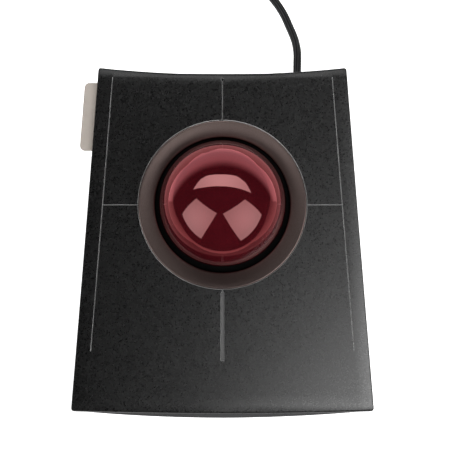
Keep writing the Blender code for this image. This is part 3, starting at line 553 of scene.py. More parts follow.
def ball_red():
    """Deep red cast resin, polished, its reflections warmed by the colour just under the surface."""
    n = Nodes("ball_red", (0.040, 0.0022, 0.0042), 0.05)
    n.paint(n.noise(90, 4.0, 0.6), [(0.3, (0.034, 0.0018, 0.0034)), (0.7, (0.046, 0.0026, 0.0048))])
    n.gloss(n.noise(260, 4.0, 0.7), [(0.35, 0.030), (0.75, 0.065)])
    n.set(ior=1.9, specular_tint=(1.0, 0.43, 0.43, 1.0))
    return n.material


def black_seat_and_gap_shade():
    """The black seat under the ball, made near-black and matt, and painted shade on the inner part of the
    ring's lip, so that the gap round the ball reads as black.
    """
    n = Nodes("cup_black", (0.0007, 0.0007, 0.0007), 0.75)
    n.gloss(n.noise(900), [(0.3, 0.70), (0.7, 0.80)])
    n.bump(n.noise(2200, 3.0), 0.3, 0.00004)
    n.set(specular_ior_level=0.05)
    return n.material


def plain(name, colour, roughness, metallic=0.0, scale=1500.0, depth=0.00003, spread=0.12):
    """Moulded or cast material: a little colour drift, a fine grain in gloss and relief."""
    n = Nodes(name, colour, roughness, metallic)
    low = tuple(c * (1 - spread) for c in colour)
    high = tuple(c * (1 + spread) for c in colour)
    n.paint(n.noise(scale / 12, 3.0), [(0.3, low), (0.7, high)])
    grain = n.noise(scale, 3.0, 0.6)
    n.gloss(grain, [(0.3, roughness * 0.88), (0.7, min(1.0, roughness * 1.12))])
    n.bump(grain, 0.3, depth)
    return n.material


def clear_lens():
    """Clear plastic, hardly rough."""
    n = Nodes("lens_clear", (0.85, 0.88, 0.90), 0.04)
    n.set(ior=1.49, transmission_weight=0.9)
    n.gloss(n.noise(400), [(0.3, 0.03), (0.7, 0.06)])
    return n.material


def cord_sleeve():
    """Black sheath with a fine braided look: two crossed waves round and along the cord, their crowns
    painted lighter as sheen and their hollows darker as shade.
    """
    n = Nodes("cord_black", (0.016, 0.016, 0.017), 0.55)
    uv = n.add("ShaderNodeUVMap")
    uv.uv_map = "along"
    split = n.add("ShaderNodeSeparateXYZ")
    n.link(uv.outputs["UV"], split.inputs["Vector"])

    def maths(operation, a, b=None):
        node = n.add("ShaderNodeMath", operation=operation)
        for value, index in ((a, 0), (b, 1)):
            if value is None:
                continue
            if hasattr(value, "links"):
                n.link(value, node.inputs[index])
            else:
                node.inputs[index].default_value = value
        return node.outputs["Value"]

    # u counts braid steps along the cord, v the strands round it
    along = maths("MULTIPLY", split.outputs["X"], 2 * math.pi)
    around = maths("MULTIPLY", split.outputs["Y"], 2 * math.pi * BRAID_STRANDS)
    left = maths("SINE", maths("ADD", along, around))
    right = maths("SINE", maths("SUBTRACT", along, around))
    weave = maths("MULTIPLY", left, right)
    height = maths("ADD", maths("MULTIPLY", weave, 0.5), 0.5)
    # painted sheen on the braid's crowns and painted shade in its hollows, following the weave's height
    n.paint(height, [(0.50, (0.0025, 0.0025, 0.0028)), (0.95, (0.075, 0.075, 0.078))])
    n.bump(height, 0.8, 0.00018)
    n.set(specular_ior_level=0.15)
    return n.material


MAT = {"cover": cover_black(),
       # light grey of the cut chamfers: partly the plastic under the lacquer, partly a painted highlight
       "edge": cut_edge("cut_edge", 0.72),
       "groove": cut_edge("groove_grey", 0.09),
       "case": case_black(),
       "ring": ring_bronze(),
       "ball": ball_red(),
       "cord": cord_sleeve(),
       # near-black seat, and painted shade on the ring's inner lip
       "cup": black_seat_and_gap_shade(),
       "steel": plain("bearing_steel", (0.62, 0.62, 0.62), 0.14, 1.0, 900, 0.000004, 0.04),
       "screw": plain("screw_steel", (0.38, 0.38, 0.39), 0.30, 1.0, 1800, 0.00001, 0.08),
       "rubber": plain("foot_rubber", (0.022, 0.022, 0.022), 0.80, 0.0, 1600, 0.00006, 0.2),
       "board": plain("board_green", (0.010, 0.110, 0.045), 0.42, 0.0, 700, 0.00002, 0.15),
       "chip": plain("chip_black", (0.014, 0.014, 0.015), 0.42),
       "lens": clear_lens(),
       "header": plain("header_white", (0.68, 0.66, 0.60), 0.48),
       "switch": plain("switch_black", (0.020, 0.020, 0.021), 0.42),
       "plunger": plain("plunger_white", (0.72, 0.70, 0.65), 0.40),
       "tab": plain("tab_grey", (0.335, 0.298, 0.265), 0.62, 0.0, 2200, 0.00006, 0.05),
       "relief": plain("relief_black", (0.016, 0.016, 0.017), 0.58),
       "tie": plain("tie_black", (0.020, 0.020, 0.020), 0.85, 0.0, 2600, 0.00020, 0.3),
       "plug": plain("plug_black", (0.017, 0.017, 0.018), 0.45),
       "shell": plain("plug_steel", (0.58, 0.57, 0.55), 0.24, 1.0, 1400, 0.000006, 0.04),
       "tongue": plain("tongue_white", (0.70, 0.69, 0.66), 0.45),
       "contact": plain("contact_gold", (0.78, 0.55, 0.20), 0.25, 1.0, 900, 0.000004, 0.04)}


def settle(piece, replaced):
    """A finished piece on the housing, in place of its CAD node."""
    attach(piece, "housing")
    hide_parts(replaced)


def dress(nodes, key):
    """Gives CAD nodes that stay in view their finished material."""
    for node in nodes:
        mesh = NODES[node].data
        mesh.materials.clear()
        mesh.materials.append(MAT[key])
        mesh.set_sharp_from_angle(angle=math.radians(35))


# ---------------------------- the cover's shape
def half_width(y, inset=0.0):
    share = (y - FRONT_CORNER_Y) / (REAR_CORNER_Y - FRONT_CORNER_Y)
    return FRONT_HALF_WIDTH + (REAR_HALF_WIDTH - FRONT_HALF_WIDTH) * share - inset


def rear_edge_y(x):
    return REAR_CORNER_Y - REAR_BOW * (1 - min(1.0, abs(x) / REAR_HALF_WIDTH) ** 2)


def front_edge_y(x):
    return FRONT_CORNER_Y - FRONT_BOW * (1 - min(1.0, abs(x) / FRONT_HALF_WIDTH) ** 2)


def surface_z(x, y):
    """Height of the cover's outer surface."""
    along = y - BALL_Y
    height = PLANE_Z + TOP_SLOPE * along + TOP_CURVE * along * along
    rolled = y - (rear_edge_y(x) - ROLL_WIDTH)
    if rolled > 0:
        height -= ROLL_DROP * (rolled / ROLL_WIDTH) ** 2
    rolled = front_edge_y(x) + FRONT_ROLL_WIDTH - y
    if rolled > 0:
        height -= FRONT_ROLL_DROP * (rolled / FRONT_ROLL_WIDTH) ** 2
    return height


def cover_outline():
    """Straight sides, and front and rear edges that bow."""
    front, rear = half_width(FRONT_CORNER_Y), half_width(REAR_CORNER_Y)
    corners = [(-front, FRONT_CORNER_Y), (front, FRONT_CORNER_Y),
               (rear, REAR_CORNER_Y), (-rear, REAR_CORNER_Y)]
    points = rounded_polygon(corners, CORNER_R, steps=6, spacing=OUTLINE_SPACING)
    bowed = []
    for x, y in points:
        share = (y - FRONT_CORNER_Y) / (REAR_CORNER_Y - FRONT_CORNER_Y)
        middle = 1 - min(1.0, abs(x) / half_width(y)) ** 2
        bowed.append((x, y - (FRONT_BOW + (REAR_BOW - FRONT_BOW) * share) * middle))
    return bowed


def slit_x(y):
    return half_width(y, SLIT_INSET)


def ring_hole_tool():
    bm = bmesh.new()
    hole = [(x, BALL_Y + y * math.cos(TILT)) for x, y in circle_points(RING_R + RIM_GAP, RING_HOLE_SIDES)]
    add_prism(bm, hole, -CUTTER_REACH, CUTTER_REACH)
    return new_object("ring_hole", bm, [])


def slit_tool():
    """The side, cross, rear and front slits, and the groove in front of the ring."""
    bm = bmesh.new()
    deep, high = -CUTTER_REACH, CUTTER_REACH
    half = SLIT / 2
    for side in (-1, 1):
        ends = ((SIDE_SLIT_FRONT_Y, -half), (SIDE_SLIT_FRONT_Y, half),
                (SIDE_SLIT_REAR_Y, half), (SIDE_SLIT_REAR_Y, -half))
        add_prism(bm, [(side * (slit_x(y) + step), y) for y, step in ends], deep, high)
        inner, outer = side * (RING_R - SLIT_OVERLAP), side * slit_x(BALL_Y)
        cross = [(inner, BALL_Y - half), (outer, BALL_Y - half),
                 (outer, BALL_Y + half), (inner, BALL_Y + half)]
        add_prism(bm, cross, deep + CUTTER_STAGGER, high - CUTTER_STAGGER)
    reach = (RING_R + RIM_GAP) * math.cos(TILT)
    rear, front = BALL_Y + reach - SLIT_OVERLAP, BALL_Y - reach + SLIT_OVERLAP
    rear_slit = [(-half, rear), (half, rear), (half, TOP_SLIT_REAR_Y), (-half, TOP_SLIT_REAR_Y)]
    add_prism(bm, rear_slit, deep, high)
    end_hole = circle_points(SLIT_END_HOLE_R, SLIT_END_HOLE_SIDES, (0, TOP_SLIT_REAR_Y))
    add_prism(bm, end_hole, deep - CUTTER_STAGGER, high + CUTTER_STAGGER)
    slot = FRONT_SLOT / 2
    head = BALL_Y - reach - FRONT_SLOT_TOP - slot
    groove = arc_points(slot, 0, 180, 8, (0, head)) + [(-slot, FRONT_SLOT_Y), (slot, FRONT_SLOT_Y)]
    add_prism(bm, groove, deep, high)
    front_slit = [(-half, head), (half, head), (half, front), (-half, front)]
    add_prism(bm, front_slit, deep + CUTTER_STAGGER, high - CUTTER_STAGGER)
    return new_object("slits", bm, [])


def split_side(centre):
    """Which piece of the cover a face belongs to."""
    x, y = centre.x, centre.y
    if abs(x) > slit_x(y):
        return "side_left" if x < 0 else "side_right"
    row = "lower" if y < BALL_Y else "upper"
    return f"{row}_left" if x < 0 else f"{row}_right"


def slice_mesh(bm, point, way):
    """Adds edges where a plane crosses the mesh."""
    everything = bm.verts[:] + bm.edges[:] + bm.faces[:]
    bmesh.ops.bisect_plane(bm, geom=everything, plane_co=point, plane_no=way, dist=SAME)


def make_cover():
    """One lacquered shell, cut by its slits, curved, and parted where the click plates begin."""
    bm = bmesh.new()
    add_prism(bm, cover_outline(), -COVER_THICK, 0.0)
    shell = new_object("cover_blank", bm, [MAT["cover"], MAT["edge"]])
    bevel(shell, COVER_EDGE_R, 4)
    cut(shell, ring_hole_tool())
    # the chamfers take the light grey cut-edge material, partly a painted highlight
    bevel(shell, RIM_CHAMFER, 1, material=1)
    cut(shell, slit_tool())
    bevel(shell, SLIT_CHAMFER, 1, material=1)

    bm = bmesh.new()
    bm.from_mesh(shell.data)
    for side in (-1, 1):
        foot = Vector((side * slit_x(FRONT_CORNER_Y), FRONT_CORNER_Y, 0))
        head = Vector((side * slit_x(REAR_CORNER_Y), REAR_CORNER_Y, 0))
        along = head - foot
        slice_mesh(bm, foot, (along.y, -along.x, 0))
    slice_mesh(bm, (0, 0, 0), (1, 0, 0))
    slice_mesh(bm, (0, BALL_Y, 0), (0, 1, 0))
    y = SLICE_FRONT_Y
    while y < SLICE_REAR_Y:
        slice_mesh(bm, (0, y, 0), (0, 1, 0))
        y += SLICE_STEP if y < SLICE_FINE_Y else SLICE_FINE_STEP
    bmesh.ops.triangulate(bm, faces=[f for f in bm.faces if len(f.verts) > 4])
    groups = {}
    for face in bm.faces:
        groups.setdefault(split_side(face.calc_center_median()), []).append(face.index)
    for vert in bm.verts:
        vert.co.z += surface_z(vert.co.x, vert.co.y)
    bm.normal_update()

    pieces = {}
    for name, wanted in groups.items():
        part = bm.copy()
        part.faces.ensure_lookup_table()
        keep = set(wanted)
        bmesh.ops.delete(part, geom=[f for f in part.faces if f.index not in keep], context="FACES")
        mats = [MAT["cover"], MAT["edge"]]
        pieces[name] = new_object(f"cover_{name}", part, mats, COVER_SMOOTH, recalc=False)
    bm.free()
    bpy.data.objects.remove(shell, do_unlink=True)
    return pieces


def place_cover():
    pieces = make_cover()
    for name, piece in pieces.items():
        if name.startswith("side"):
            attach(piece, "housing")
            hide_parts("top_cover")
            continue
        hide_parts(f"click_plate_{name}")
        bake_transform(piece)


def make_slot_floor():
    """The grey floor of the groove in front of the ring; the click plates pass on either side."""
    half = FRONT_SLOT / 2 - SLOT_FLOOR_GAP
    foot = FRONT_SLOT_Y + SLOT_FLOOR_GAP
    top = BALL_Y - (RING_R + RIM_GAP) * math.cos(TILT) - FRONT_SLOT_TOP
    outline = arc_points(half, 0, 180, 8, (0, top - half)) + [(-half, foot), (half, foot)]
    bm = bmesh.new()
    add_prism(bm, outline, -SLOT_FLOOR_THICK, 0.0)
    y = FRONT_SLOT_Y + SLOT_FLOOR_STEP
    while y < top - FRONT_SLOT:
        slice_mesh(bm, (0, y, 0), (0, 1, 0))
        y += SLOT_FLOOR_STEP
    for vert in bm.verts:
        vert.co.z += surface_z(vert.co.x, vert.co.y) - FRONT_SLOT_DEPTH
    floor = new_object("front_groove", bm, [MAT["groove"]])
    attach(floor, "housing")


# ---------------------------- ring and ball
def ring_place():
    return Matrix.Translation((0, BALL_Y, PLANE_Z)) @ Matrix.Rotation(TILT, 4, "X")


def make_ring():
    """Dished ring: a crisp rim, a fall inwards and a soft round lip that turns down at the hole."""
    top, low = RING_PROUD, RING_PROUD - RING_THICK
    step_in = RING_R - RING_STEP
    edge = RING_EDGE_R
    bm = bmesh.new()
    outer = [(step_in, low), (step_in, top - RING_SEAT_DOWN), (RING_R, top - RING_RIM_TALL),
             (RING_R, top - edge)]
    outer += [(RING_R - edge + edge * math.cos(a), top - edge + edge * math.sin(a))
              for a in (math.radians(30), math.radians(60), math.radians(90))]
    dish_out, dish_in = RING_R - edge - RING_RIM_FLAT, RING_HOLE_R + RING_LIP
    for step in range(11):
        share = step / 10
        outer.append((dish_out + (dish_in - dish_out) * share, top - RING_DISH * share))
    lip_top = top - RING_DISH
    fall = math.degrees(math.atan(RING_DISH / (dish_out - dish_in)))
    lip = []
    for step in range(9):
        angle = math.radians(fall + (RING_LIP_STEEPEST - fall) * step / 8)
        lip.append((dish_in - RING_LIP * (math.sin(angle) - math.sin(math.radians(fall))),
                    lip_top - RING_LIP * (math.cos(math.radians(fall)) - math.cos(angle))))
    add_turned(bm, outer + lip[1:] + [(lip[-1][0], low)], RING_TURN_SIDES, ring_place())
    # the inner part of the lip gets the near-black seat material: painted shade in the gap round the ball
    for face in bm.faces:
        centre = ring_place().inverted() @ face.calc_center_median()
        if math.hypot(centre.x, centre.y) < dish_in - RING_LIP * RING_LIP_SHOWN:
            face.material_index = 1
    ring = new_object("ring", bm, [MAT["ring"], MAT["cup"]], 60.0)
    settle(ring, "ring_bezel")


def make_ball():
    bm = bmesh.new()
    bmesh.ops.create_icosphere(bm, subdivisions=6, radius=BALL_R)
    ball = new_object("polished_ball", bm, [MAT["ball"]], 180.0)
    ball.location = BALL_CENTRE
    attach(ball, "trackball")
    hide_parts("ball")


# ---------------------------- cord
def coil_path():
    """The wound turns, layer on layer, each layer's spiral running in or out."""
    turns = COIL_LAYERS * (COIL_OUTER_R - COIL_INNER_R) / (2 * CORD_R)
    turns = math.floor(turns) + (PLUG_TURN - COIL_START) / (2 * math.pi)
    steps = round(turns * COIL_PER_TURN)
    points = []
    for step in range(steps + 1):
        share = step / steps
        level = share * COIL_LAYERS
        layer = min(COIL_LAYERS - 1, int(level))
        within = level - layer
        inwards = layer % 2 == 0
        radius = COIL_OUTER_R - (COIL_OUTER_R - COIL_INNER_R) * (within if inwards else 1 - within)
        climb = max(0.0, (within - 1 + COIL_CLIMB) / (2 * COIL_CLIMB)) if layer < COIL_LAYERS - 1 else 0.0
        sink = max(0.0, (COIL_CLIMB - within) / (2 * COIL_CLIMB)) if layer > 0 else 0.0
        rise = 2 * CORD_R * (layer + climb - sink)
        angle = COIL_START + 2 * math.pi * turns * share
        points.append(COIL_CENTRE + Vector((radius * math.cos(angle), radius * math.sin(angle),
                                            COIL_LIFT + CORD_R + rise)))
    return points


def tail_path():
    """Off the top turn, up, and in a tight curve to the plug that lies on the coil."""
    top = COIL_LIFT + 2 * CORD_R * COIL_LAYERS
    plug_low, plug_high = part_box("usb_plug_grip")
    plug_z = (plug_low.z + plug_high.z) / 2
    clear_z = top + CORD_R + CLEAR
    middle = COIL_OUTER_R - PLUG_CHORD
    turn = Matrix.Translation(COIL_CENTRE) @ Matrix.Rotation(PLUG_TURN, 4, "Z")
    points = []
    for degrees in (*range(TAIL_FROM, TAIL_TO, 15), TAIL_TO):
        angle = math.radians(degrees)
        height = clear_z + (plug_z - clear_z) * (degrees - TAIL_FROM) / (TAIL_TO - TAIL_FROM)
        points.append(turn @ Vector((middle + PLUG_CHORD * math.cos(angle),
                                     PLUG_CHORD * math.sin(angle), height)))
    points.append(turn @ Vector((middle - PLUG_STUB, PLUG_CHORD, plug_z)))
    return points


def place_of(path, point):
    """Where a point stands on a path."""
    return next(i for i, p in enumerate(path) if (p - Vector(point)).length < SAME_ON_PATH)


def cord_points():
    """From the case, under the coil's outermost turn, through its turns, and off to the plug."""
    lead = smooth_path(CORD_ROUTE, CORD_SPACING)
    coil = coil_path()
    tail = tail_path()
    join = smooth_path([CORD_ROUTE[-2], CORD_ROUTE[-1], coil[0], coil[3]], CORD_SPACING)
    join = join[place_of(join, CORD_ROUTE[-1]) + 1:place_of(join, coil[0])]
    lift = smooth_path([coil[-9], coil[-5], tail[0], *tail[1:]], TAIL_SPACING)
    return lead + join + coil[:-5] + lift[place_of(lift, coil[-5]):]


def swept_tube(name, path, radius, sides, mats):
    """A tube with flat ends along a path, with UVs that count braid steps along and strands round."""
    bm = bmesh.new()
    layer = bm.loops.layers.uv.new("along")
    tangents = []
    for i in range(len(path)):
        tangents.append((path[min(i + 1, len(path) - 1)] - path[max(i - 1, 0)]).normalized())
    side = tangents[0].orthogonal().normalized()
    rings, travelled = [], [0.0]
    for i, (point, tangent) in enumerate(zip(path, tangents)):
        side = (side - tangent * side.dot(tangent)).normalized()
        other = tangent.cross(side)
        angles = [2 * math.pi * k / sides for k in range(sides)]
        rings.append([bm.verts.new(point + (side * math.cos(a) + other * math.sin(a)) * radius)
                      for a in angles])
        if i:
            travelled.append(travelled[-1] + (point - path[i - 1]).length)
    for i, (first, second) in enumerate(zip(rings, rings[1:])):
        for k in range(sides):
            face = bm.faces.new((first[k], first[(k + 1) % sides], second[(k + 1) % sides], second[k]))
            start, end = travelled[i], travelled[i + 1]
            marks = ((start, k), (start, k + 1), (end, k + 1), (end, k))
            for loop, (length, turn) in zip(face.loops, marks):
                loop[layer].uv = (length / BRAID_STEP, turn / sides)
    bm.faces.new(list(reversed(rings[0])))
    bm.faces.new(rings[-1])
    return new_object(name, bm, mats, 60.0, recalc=False)


def make_cord():
    path = cord_points()
    cord = swept_tube("cord", path, CORD_R, CORD_SIDES, [MAT["cord"]])
    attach(cord, "housing")
    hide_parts("cord_lead", "cord_coil", "cord_tail")


# ---------------------------- lower case
def case_outline(inset, front_y, front_bow, rear_y, corner):
    front_half, rear_half = FRONT_HALF_WIDTH - inset, REAR_HALF_WIDTH - inset
    corners = [(-front_half, front_y + front_bow), (front_half, front_y + front_bow),
               (rear_half, rear_y), (-rear_half, rear_y)]
    shifted = []
    for x, y in rounded_polygon(corners, corner, steps=8, parts=24):
        share = (rear_y - y) / (rear_y - front_y)
        shifted.append(Vector((x, y - front_bow * share * (1 - min(1.0, abs(x) / front_half) ** 2))))
    return shifted


def inset_by(points, amount):
    """Moves each point of an outline inwards, square to the outline."""
    moved = []
    for i, point in enumerate(points):
        way = (points[(i + 1) % len(points)] - points[i - 1]).normalized()
        moved.append(point + Vector((-way.y, way.x)) * amount)
    return moved


def make_case():
    """A tray with a rounded foot edge, bosses for its screws, a cord hole and a sunk blank panel."""
    rim = case_outline(CASE_RIM_INSET, CASE_FRONT_Y, CASE_RIM_BOW, CASE_REAR_Y, CASE_RIM_CORNER_R)
    foot = case_outline(CASE_FOOT_INSET, CASE_FOOT_FRONT_Y, CASE_FOOT_BOW, CASE_REAR_FOOT_Y,
                        CASE_FOOT_CORNER_R)
    rim_z = [surface_z(p.x, max(p.y, CASE_FRONT_Y)) - CASE_BELOW for p in rim]
    rows = []
    for row in range(CASE_ROWS + 1):
        points = []
        for high, low, z in zip(rim, foot, rim_z):
            share = row / CASE_ROWS * (1 - CASE_FOOT_EDGE / (z - CASE_BOTTOM_Z))
            points.append((*high.lerp(low, share), z + (CASE_BOTTOM_Z - z) * share))
        rows.append(points)
    for angle in range(18, 91, 18):
        turned = math.radians(angle)
        edge = inset_by(foot, CASE_FOOT_EDGE * (1 - math.cos(turned)))
        height = CASE_BOTTOM_Z + CASE_FOOT_EDGE * (1 - math.sin(turned))
        rows.append([(*point, height) for point in edge])
    inner_rim = [(*point, z) for point, z in zip(inset_by(rim, CASE_WALL), rim_z)]
    inner_foot = [(*point, CASE_BOTTOM_Z + CASE_FLOOR_THICK) for point in inset_by(foot, CASE_WALL)]
    bm = bmesh.new()
    grid = [[bm.verts.new(point) for point in row] for row in [inner_foot, inner_rim] + rows]
    for first, second in zip(grid, grid[1:]):
        for i in range(len(first)):
            bm.faces.new((first[i - 1], first[i], second[i], second[i - 1]))
    bm.faces.new(grid[0])
    bm.faces.new(grid[-1])
    case = new_object("lower_case", bm, [MAT["case"]], CASE_SMOOTH)
    bosses, holes = bmesh.new(), bmesh.new()
    for node in (n for n in NODES if n.startswith("case_screw")):
        low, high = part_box(node)
        centre = (low + high) / 2
        place = Matrix.Translation((centre.x, centre.y, 0))
        seat_z = low.z + SCREW_HEAD_TALL
        end_z = seat_z + SCREW_HOLE_DEEP
        head_r = (high.x - low.x) / 2 + SCREW_CLEAR
        add_post(bosses, BOSS_R, CASE_BOTTOM_Z + BOSS_SINK, seat_z + BOSS_ROOF, place)
        bore = [(0, -CUTTER_STAGGER), (head_r, -CUTTER_STAGGER), (head_r, seat_z), (SCREW_HOLE_R, seat_z),
                (SCREW_HOLE_R, end_z), (0, end_z)]
        add_turned(holes, bore, 32, place, closed=False)
    add_post(holes, CORD_HOLE_R, -CORD_HOLE_HALF, CORD_HOLE_HALF, CORD_EXIT_PLACE)
    panel = [(-PANEL_HALF_WIDTH, PANEL_FRONT_Y), (PANEL_HALF_WIDTH, PANEL_FRONT_Y),
             (PANEL_HALF_WIDTH, PANEL_REAR_Y), (-PANEL_HALF_WIDTH, PANEL_REAR_Y)]
    add_prism(holes, rounded_polygon(panel, PANEL_CORNER_R, steps=6), 0.0, CASE_BOTTOM_Z + PANEL_SINK)
    cut(case, new_object("case_bosses", bosses, []), "UNION")
    cut(case, new_object("case_holes", holes, []))
    slot = bmesh.new()
    add_prism(slot, tab_outline(TAB_SLOT_CLEAR), -TAB_THICK - TAB_SLOT_CLEAR, TAB_DROP)
    for vert in slot.verts:
        vert.co.z += surface_z(vert.co.x, vert.co.y) - TAB_DROP
    cut(case, new_object("tab_slot", slot, []))
    settle(case, "bottom_case")


# ---------------------------- tab, feet and screws
def tab_outline(grow=0.0):
    front_x, rear_x = -half_width(TAB_FRONT_Y), -half_width(TAB_REAR_Y)
    front_y, rear_y = TAB_FRONT_Y - grow, TAB_REAR_Y + grow
    corners = [(front_x - TAB_OUT - grow, front_y), (front_x + TAB_IN + grow, front_y),
               (rear_x + TAB_IN + grow, rear_y), (rear_x - TAB_OUT - grow, rear_y)]
    return rounded_polygon(corners, TAB_CORNER_R, steps=8, spacing=TAB_SPACING)


def make_tab():
    """A thin soft tab under the cover's left side, its edges rounded."""
    bm = bmesh.new()
    add_prism(bm, tab_outline(), -TAB_THICK, 0.0)
    tab = new_object("soft_tab", bm, [MAT["tab"]])
    bevel(tab, TAB_EDGE_R, 3)
    for vert in tab.data.vertices:
        vert.co.z += surface_z(vert.co.x, vert.co.y) - TAB_DROP
    settle(tab, "side_tab")


def make_feet():
    """Rubber discs with a rounded edge and a shallow ring groove."""
    for node in sorted(n for n in NODES if n.startswith("rubber_foot")):
        low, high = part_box(node)
        centre = (low + high) / 2
        radius, thick = (high.x - low.x) / 2, high.z - low.z
        profile = [(0, 0)]
        profile += [(radius * share, depth) for share, depth in zip(FOOT_GROOVE_AT, (0, FOOT_GROOVE, 0))]
        for degrees in range(0, 91, 15):
            angle = math.radians(degrees)
            profile.append((radius - FOOT_EDGE_R + FOOT_EDGE_R * math.sin(angle),
                            FOOT_EDGE_R - FOOT_EDGE_R * math.cos(angle)))
        profile += [(radius, thick), (0, thick)]
        bm = bmesh.new()
        add_turned(bm, profile, 64, Matrix.Translation((centre.x, centre.y, low.z)), closed=False)
        foot = new_object(node.replace("rubber_foot", "foot"), bm, [MAT["rubber"]], 50.0)
        settle(foot, node)


def make_screws():
    """Pan-head screws, heads down, with a cross recess."""
    for node in sorted(n for n in NODES if n.startswith("case_screw")):
        low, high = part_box(node)
        centre = (low + high) / 2
        head, length = (high.x - low.x) / 2, high.z - low.z
        shank = SCREW_SHANK_R
        profile = [(0, 0), (head * 0.6, 0.00004), (head * 0.85, SCREW_CROWN * 0.4), (head, SCREW_CROWN),
                   (head, SCREW_HEAD_TALL), (shank, SCREW_HEAD_TALL)]
        thread_top = length - SCREW_POINT
        z = SCREW_HEAD_TALL + SCREW_PITCH
        while z < thread_top - SCREW_PITCH:
            profile += [(shank * 0.82, z), (shank, z + SCREW_PITCH / 2)]
            z += SCREW_PITCH
        profile += [(shank * 0.8, thread_top), (0, length)]
        place = Matrix.Translation((centre.x, centre.y, low.z))
        bm = bmesh.new()
        add_turned(bm, profile, 32, place, closed=False)
        screw = new_object(node.replace("case_screw", "screw"), bm, [MAT["screw"]], 35.0)
        bm = bmesh.new()
        add_box(bm, (0, 0, 0), (SCREW_CROSS_LONG, SCREW_CROSS_WIDE, SCREW_CROSS_DEEP), place)
        add_box(bm, (0, 0, 0), (SCREW_CROSS_WIDE, SCREW_CROSS_LONG, SCREW_CROSS_DEEP + HAIR), place)
        cut(screw, new_object("recess", bm, []))
        settle(screw, node)


# ---------------------------- strain relief, tie and plug
def make_relief():
    """A tapered sleeve with ribs, and the clip that holds it in the wall."""
    edge, back = RELIEF_FLANGE_EDGE, -RELIEF_FLANGE_BACK
    flange = RELIEF_FLANGE_R
    profile = [(0, -RELIEF_IN), (flange - edge, -RELIEF_IN), (flange, -RELIEF_IN + edge),
               (flange, back - edge), (flange - edge, back), (RELIEF_R, back),
               (RELIEF_R, RELIEF_RIBS_FROM)]
    end = RELIEF_OUT - RELIEF_END
    step = (end - RELIEF_RIBS_FROM) / RELIEF_RIBS
    for rib in range(RELIEF_RIBS):
        z = RELIEF_RIBS_FROM + rib * step
        radius = RELIEF_R - RELIEF_TAPER * rib / RELIEF_RIBS
        profile += [(radius + out, z + share * step) for share, out in RELIEF_RIB]
    profile += [(RELIEF_END_R, end + RELIEF_END_STEP), (RELIEF_END_R, RELIEF_OUT - CLEAR),
                (RELIEF_END_R - edge, RELIEF_OUT), (0, RELIEF_OUT)]
    bm = bmesh.new()
    add_turned(bm, profile, 40, CORD_EXIT_PLACE, closed=False)
    relief = new_object("cord_relief", bm, [MAT["relief"]], 40.0)
    settle(relief, "strain_relief")


def make_tie():
    """A hook-and-loop band closed round the coil, its free end lapped over the top."""
    low, high = COIL_LIFT, COIL_LIFT + 2 * CORD_R * COIL_LAYERS
    bulge = (TIE_WIDTH / 2) ** 2 / (2 * (COIL_INNER_R - CORD_R))
    inner, outer = COIL_INNER_R - CORD_R - CLEAR - bulge, COIL_OUTER_R + CORD_R + CLEAR
    place = Matrix.Translation(COIL_CENTRE) @ Matrix.Rotation(TIE_TURN, 4, "Z")
    bm = bmesh.new()

    def band(outlines, closed):
        loops = []
        for half in (-TIE_WIDTH / 2, TIE_WIDTH / 2):
            for outline in outlines:
                loops.append([bm.verts.new(place @ Vector((r, half, z))) for r, z in outline])
        for first, second in ((0, 1), (1, 3), (3, 2), (2, 0)):
            first, second = loops[first], loops[second]
            for i in range(0 if closed else 1, len(first)):
                bm.faces.new((first[i - 1], first[i], second[i], second[i - 1]))
        if not closed:
            for i in (0, -1):
                bm.faces.new([loops[k][i] for k in (0, 1, 3, 2)])

    outlines = []
    for grow, corner in ((0.0, TIE_CORNER_R), (TIE_THICK, TIE_OUTER_CORNER_R)):
        corners = [(inner - grow, low - CLEAR - grow), (outer + grow, low - CLEAR - grow),
                   (outer + grow, high + CLEAR + grow), (inner - grow, high + CLEAR + grow)]
        outlines.append(rounded_polygon(corners, corner, steps=6, spacing=TIE_SPACING))
    band(outlines, True)
    top = high + CLEAR + TIE_THICK + 2 * HAIR
    start, end = outer - TIE_LAP_START, inner + TIE_LAP_END
    lap = [(start - (start - end) * k / 8, top) for k in range(9)]
    band([lap, [(r, z + TIE_THICK * 0.8) for r, z in lap]], False)
    tie = new_object("coil_strap", bm, [MAT["tie"]], 50.0)
    settle(tie, "coil_tie")


def plug_place():
    """The plug's own frame: X along the plug, from the cord to the contacts."""
    height = COIL_LIFT + 2 * CORD_R * COIL_LAYERS + CLEAR + PLUG_BODY[2] / 2
    return (Matrix.Translation(COIL_CENTRE) @ Matrix.Rotation(PLUG_TURN, 4, "Z")
            @ Matrix.Translation((0, PLUG_CHORD, height)) @ Matrix.Rotation(math.pi, 4, "Z"))


def seat(piece):
    """Moves a piece made in the plug's frame to its place on the coil."""
    piece.data.transform(plug_place())
    piece.data.update()


def make_plug_grip(start):
    """Moulded grip with finger grooves and a blank sunk panel on both faces."""
    length, width, height = PLUG_BODY
    bm = bmesh.new()
    add_box(bm, (start + length / 2, 0, 0), PLUG_BODY)
    bmesh.ops.bevel(bm, geom=bm.edges[:], offset=PLUG_EDGE_R, segments=5, profile=0.6, affect="EDGES")
    grip = new_object("plug_grip", bm, [MAT["plug"]])
    bm = bmesh.new()
    for side in (-1, 1):
        for groove in range(PLUG_GROOVES):
            x = start + PLUG_GROOVE_FROM + groove * PLUG_GROOVE_STEP
            add_box(bm, (x, side * width / 2, 0), (*PLUG_GROOVE, height * PLUG_GROOVE_SHARE))
        add_box(bm, (start + length * PLUG_PANEL_AT, 0, side * height / 2),
                (length * PLUG_PANEL[0], width * PLUG_PANEL[1], PLUG_PANEL_DEEP))
    cut(grip, new_object("grooves", bm, []))
    bevel(grip, PLUG_GROOVE_EDGE, 1)
    seat(grip)
    settle(grip, "usb_plug_grip")


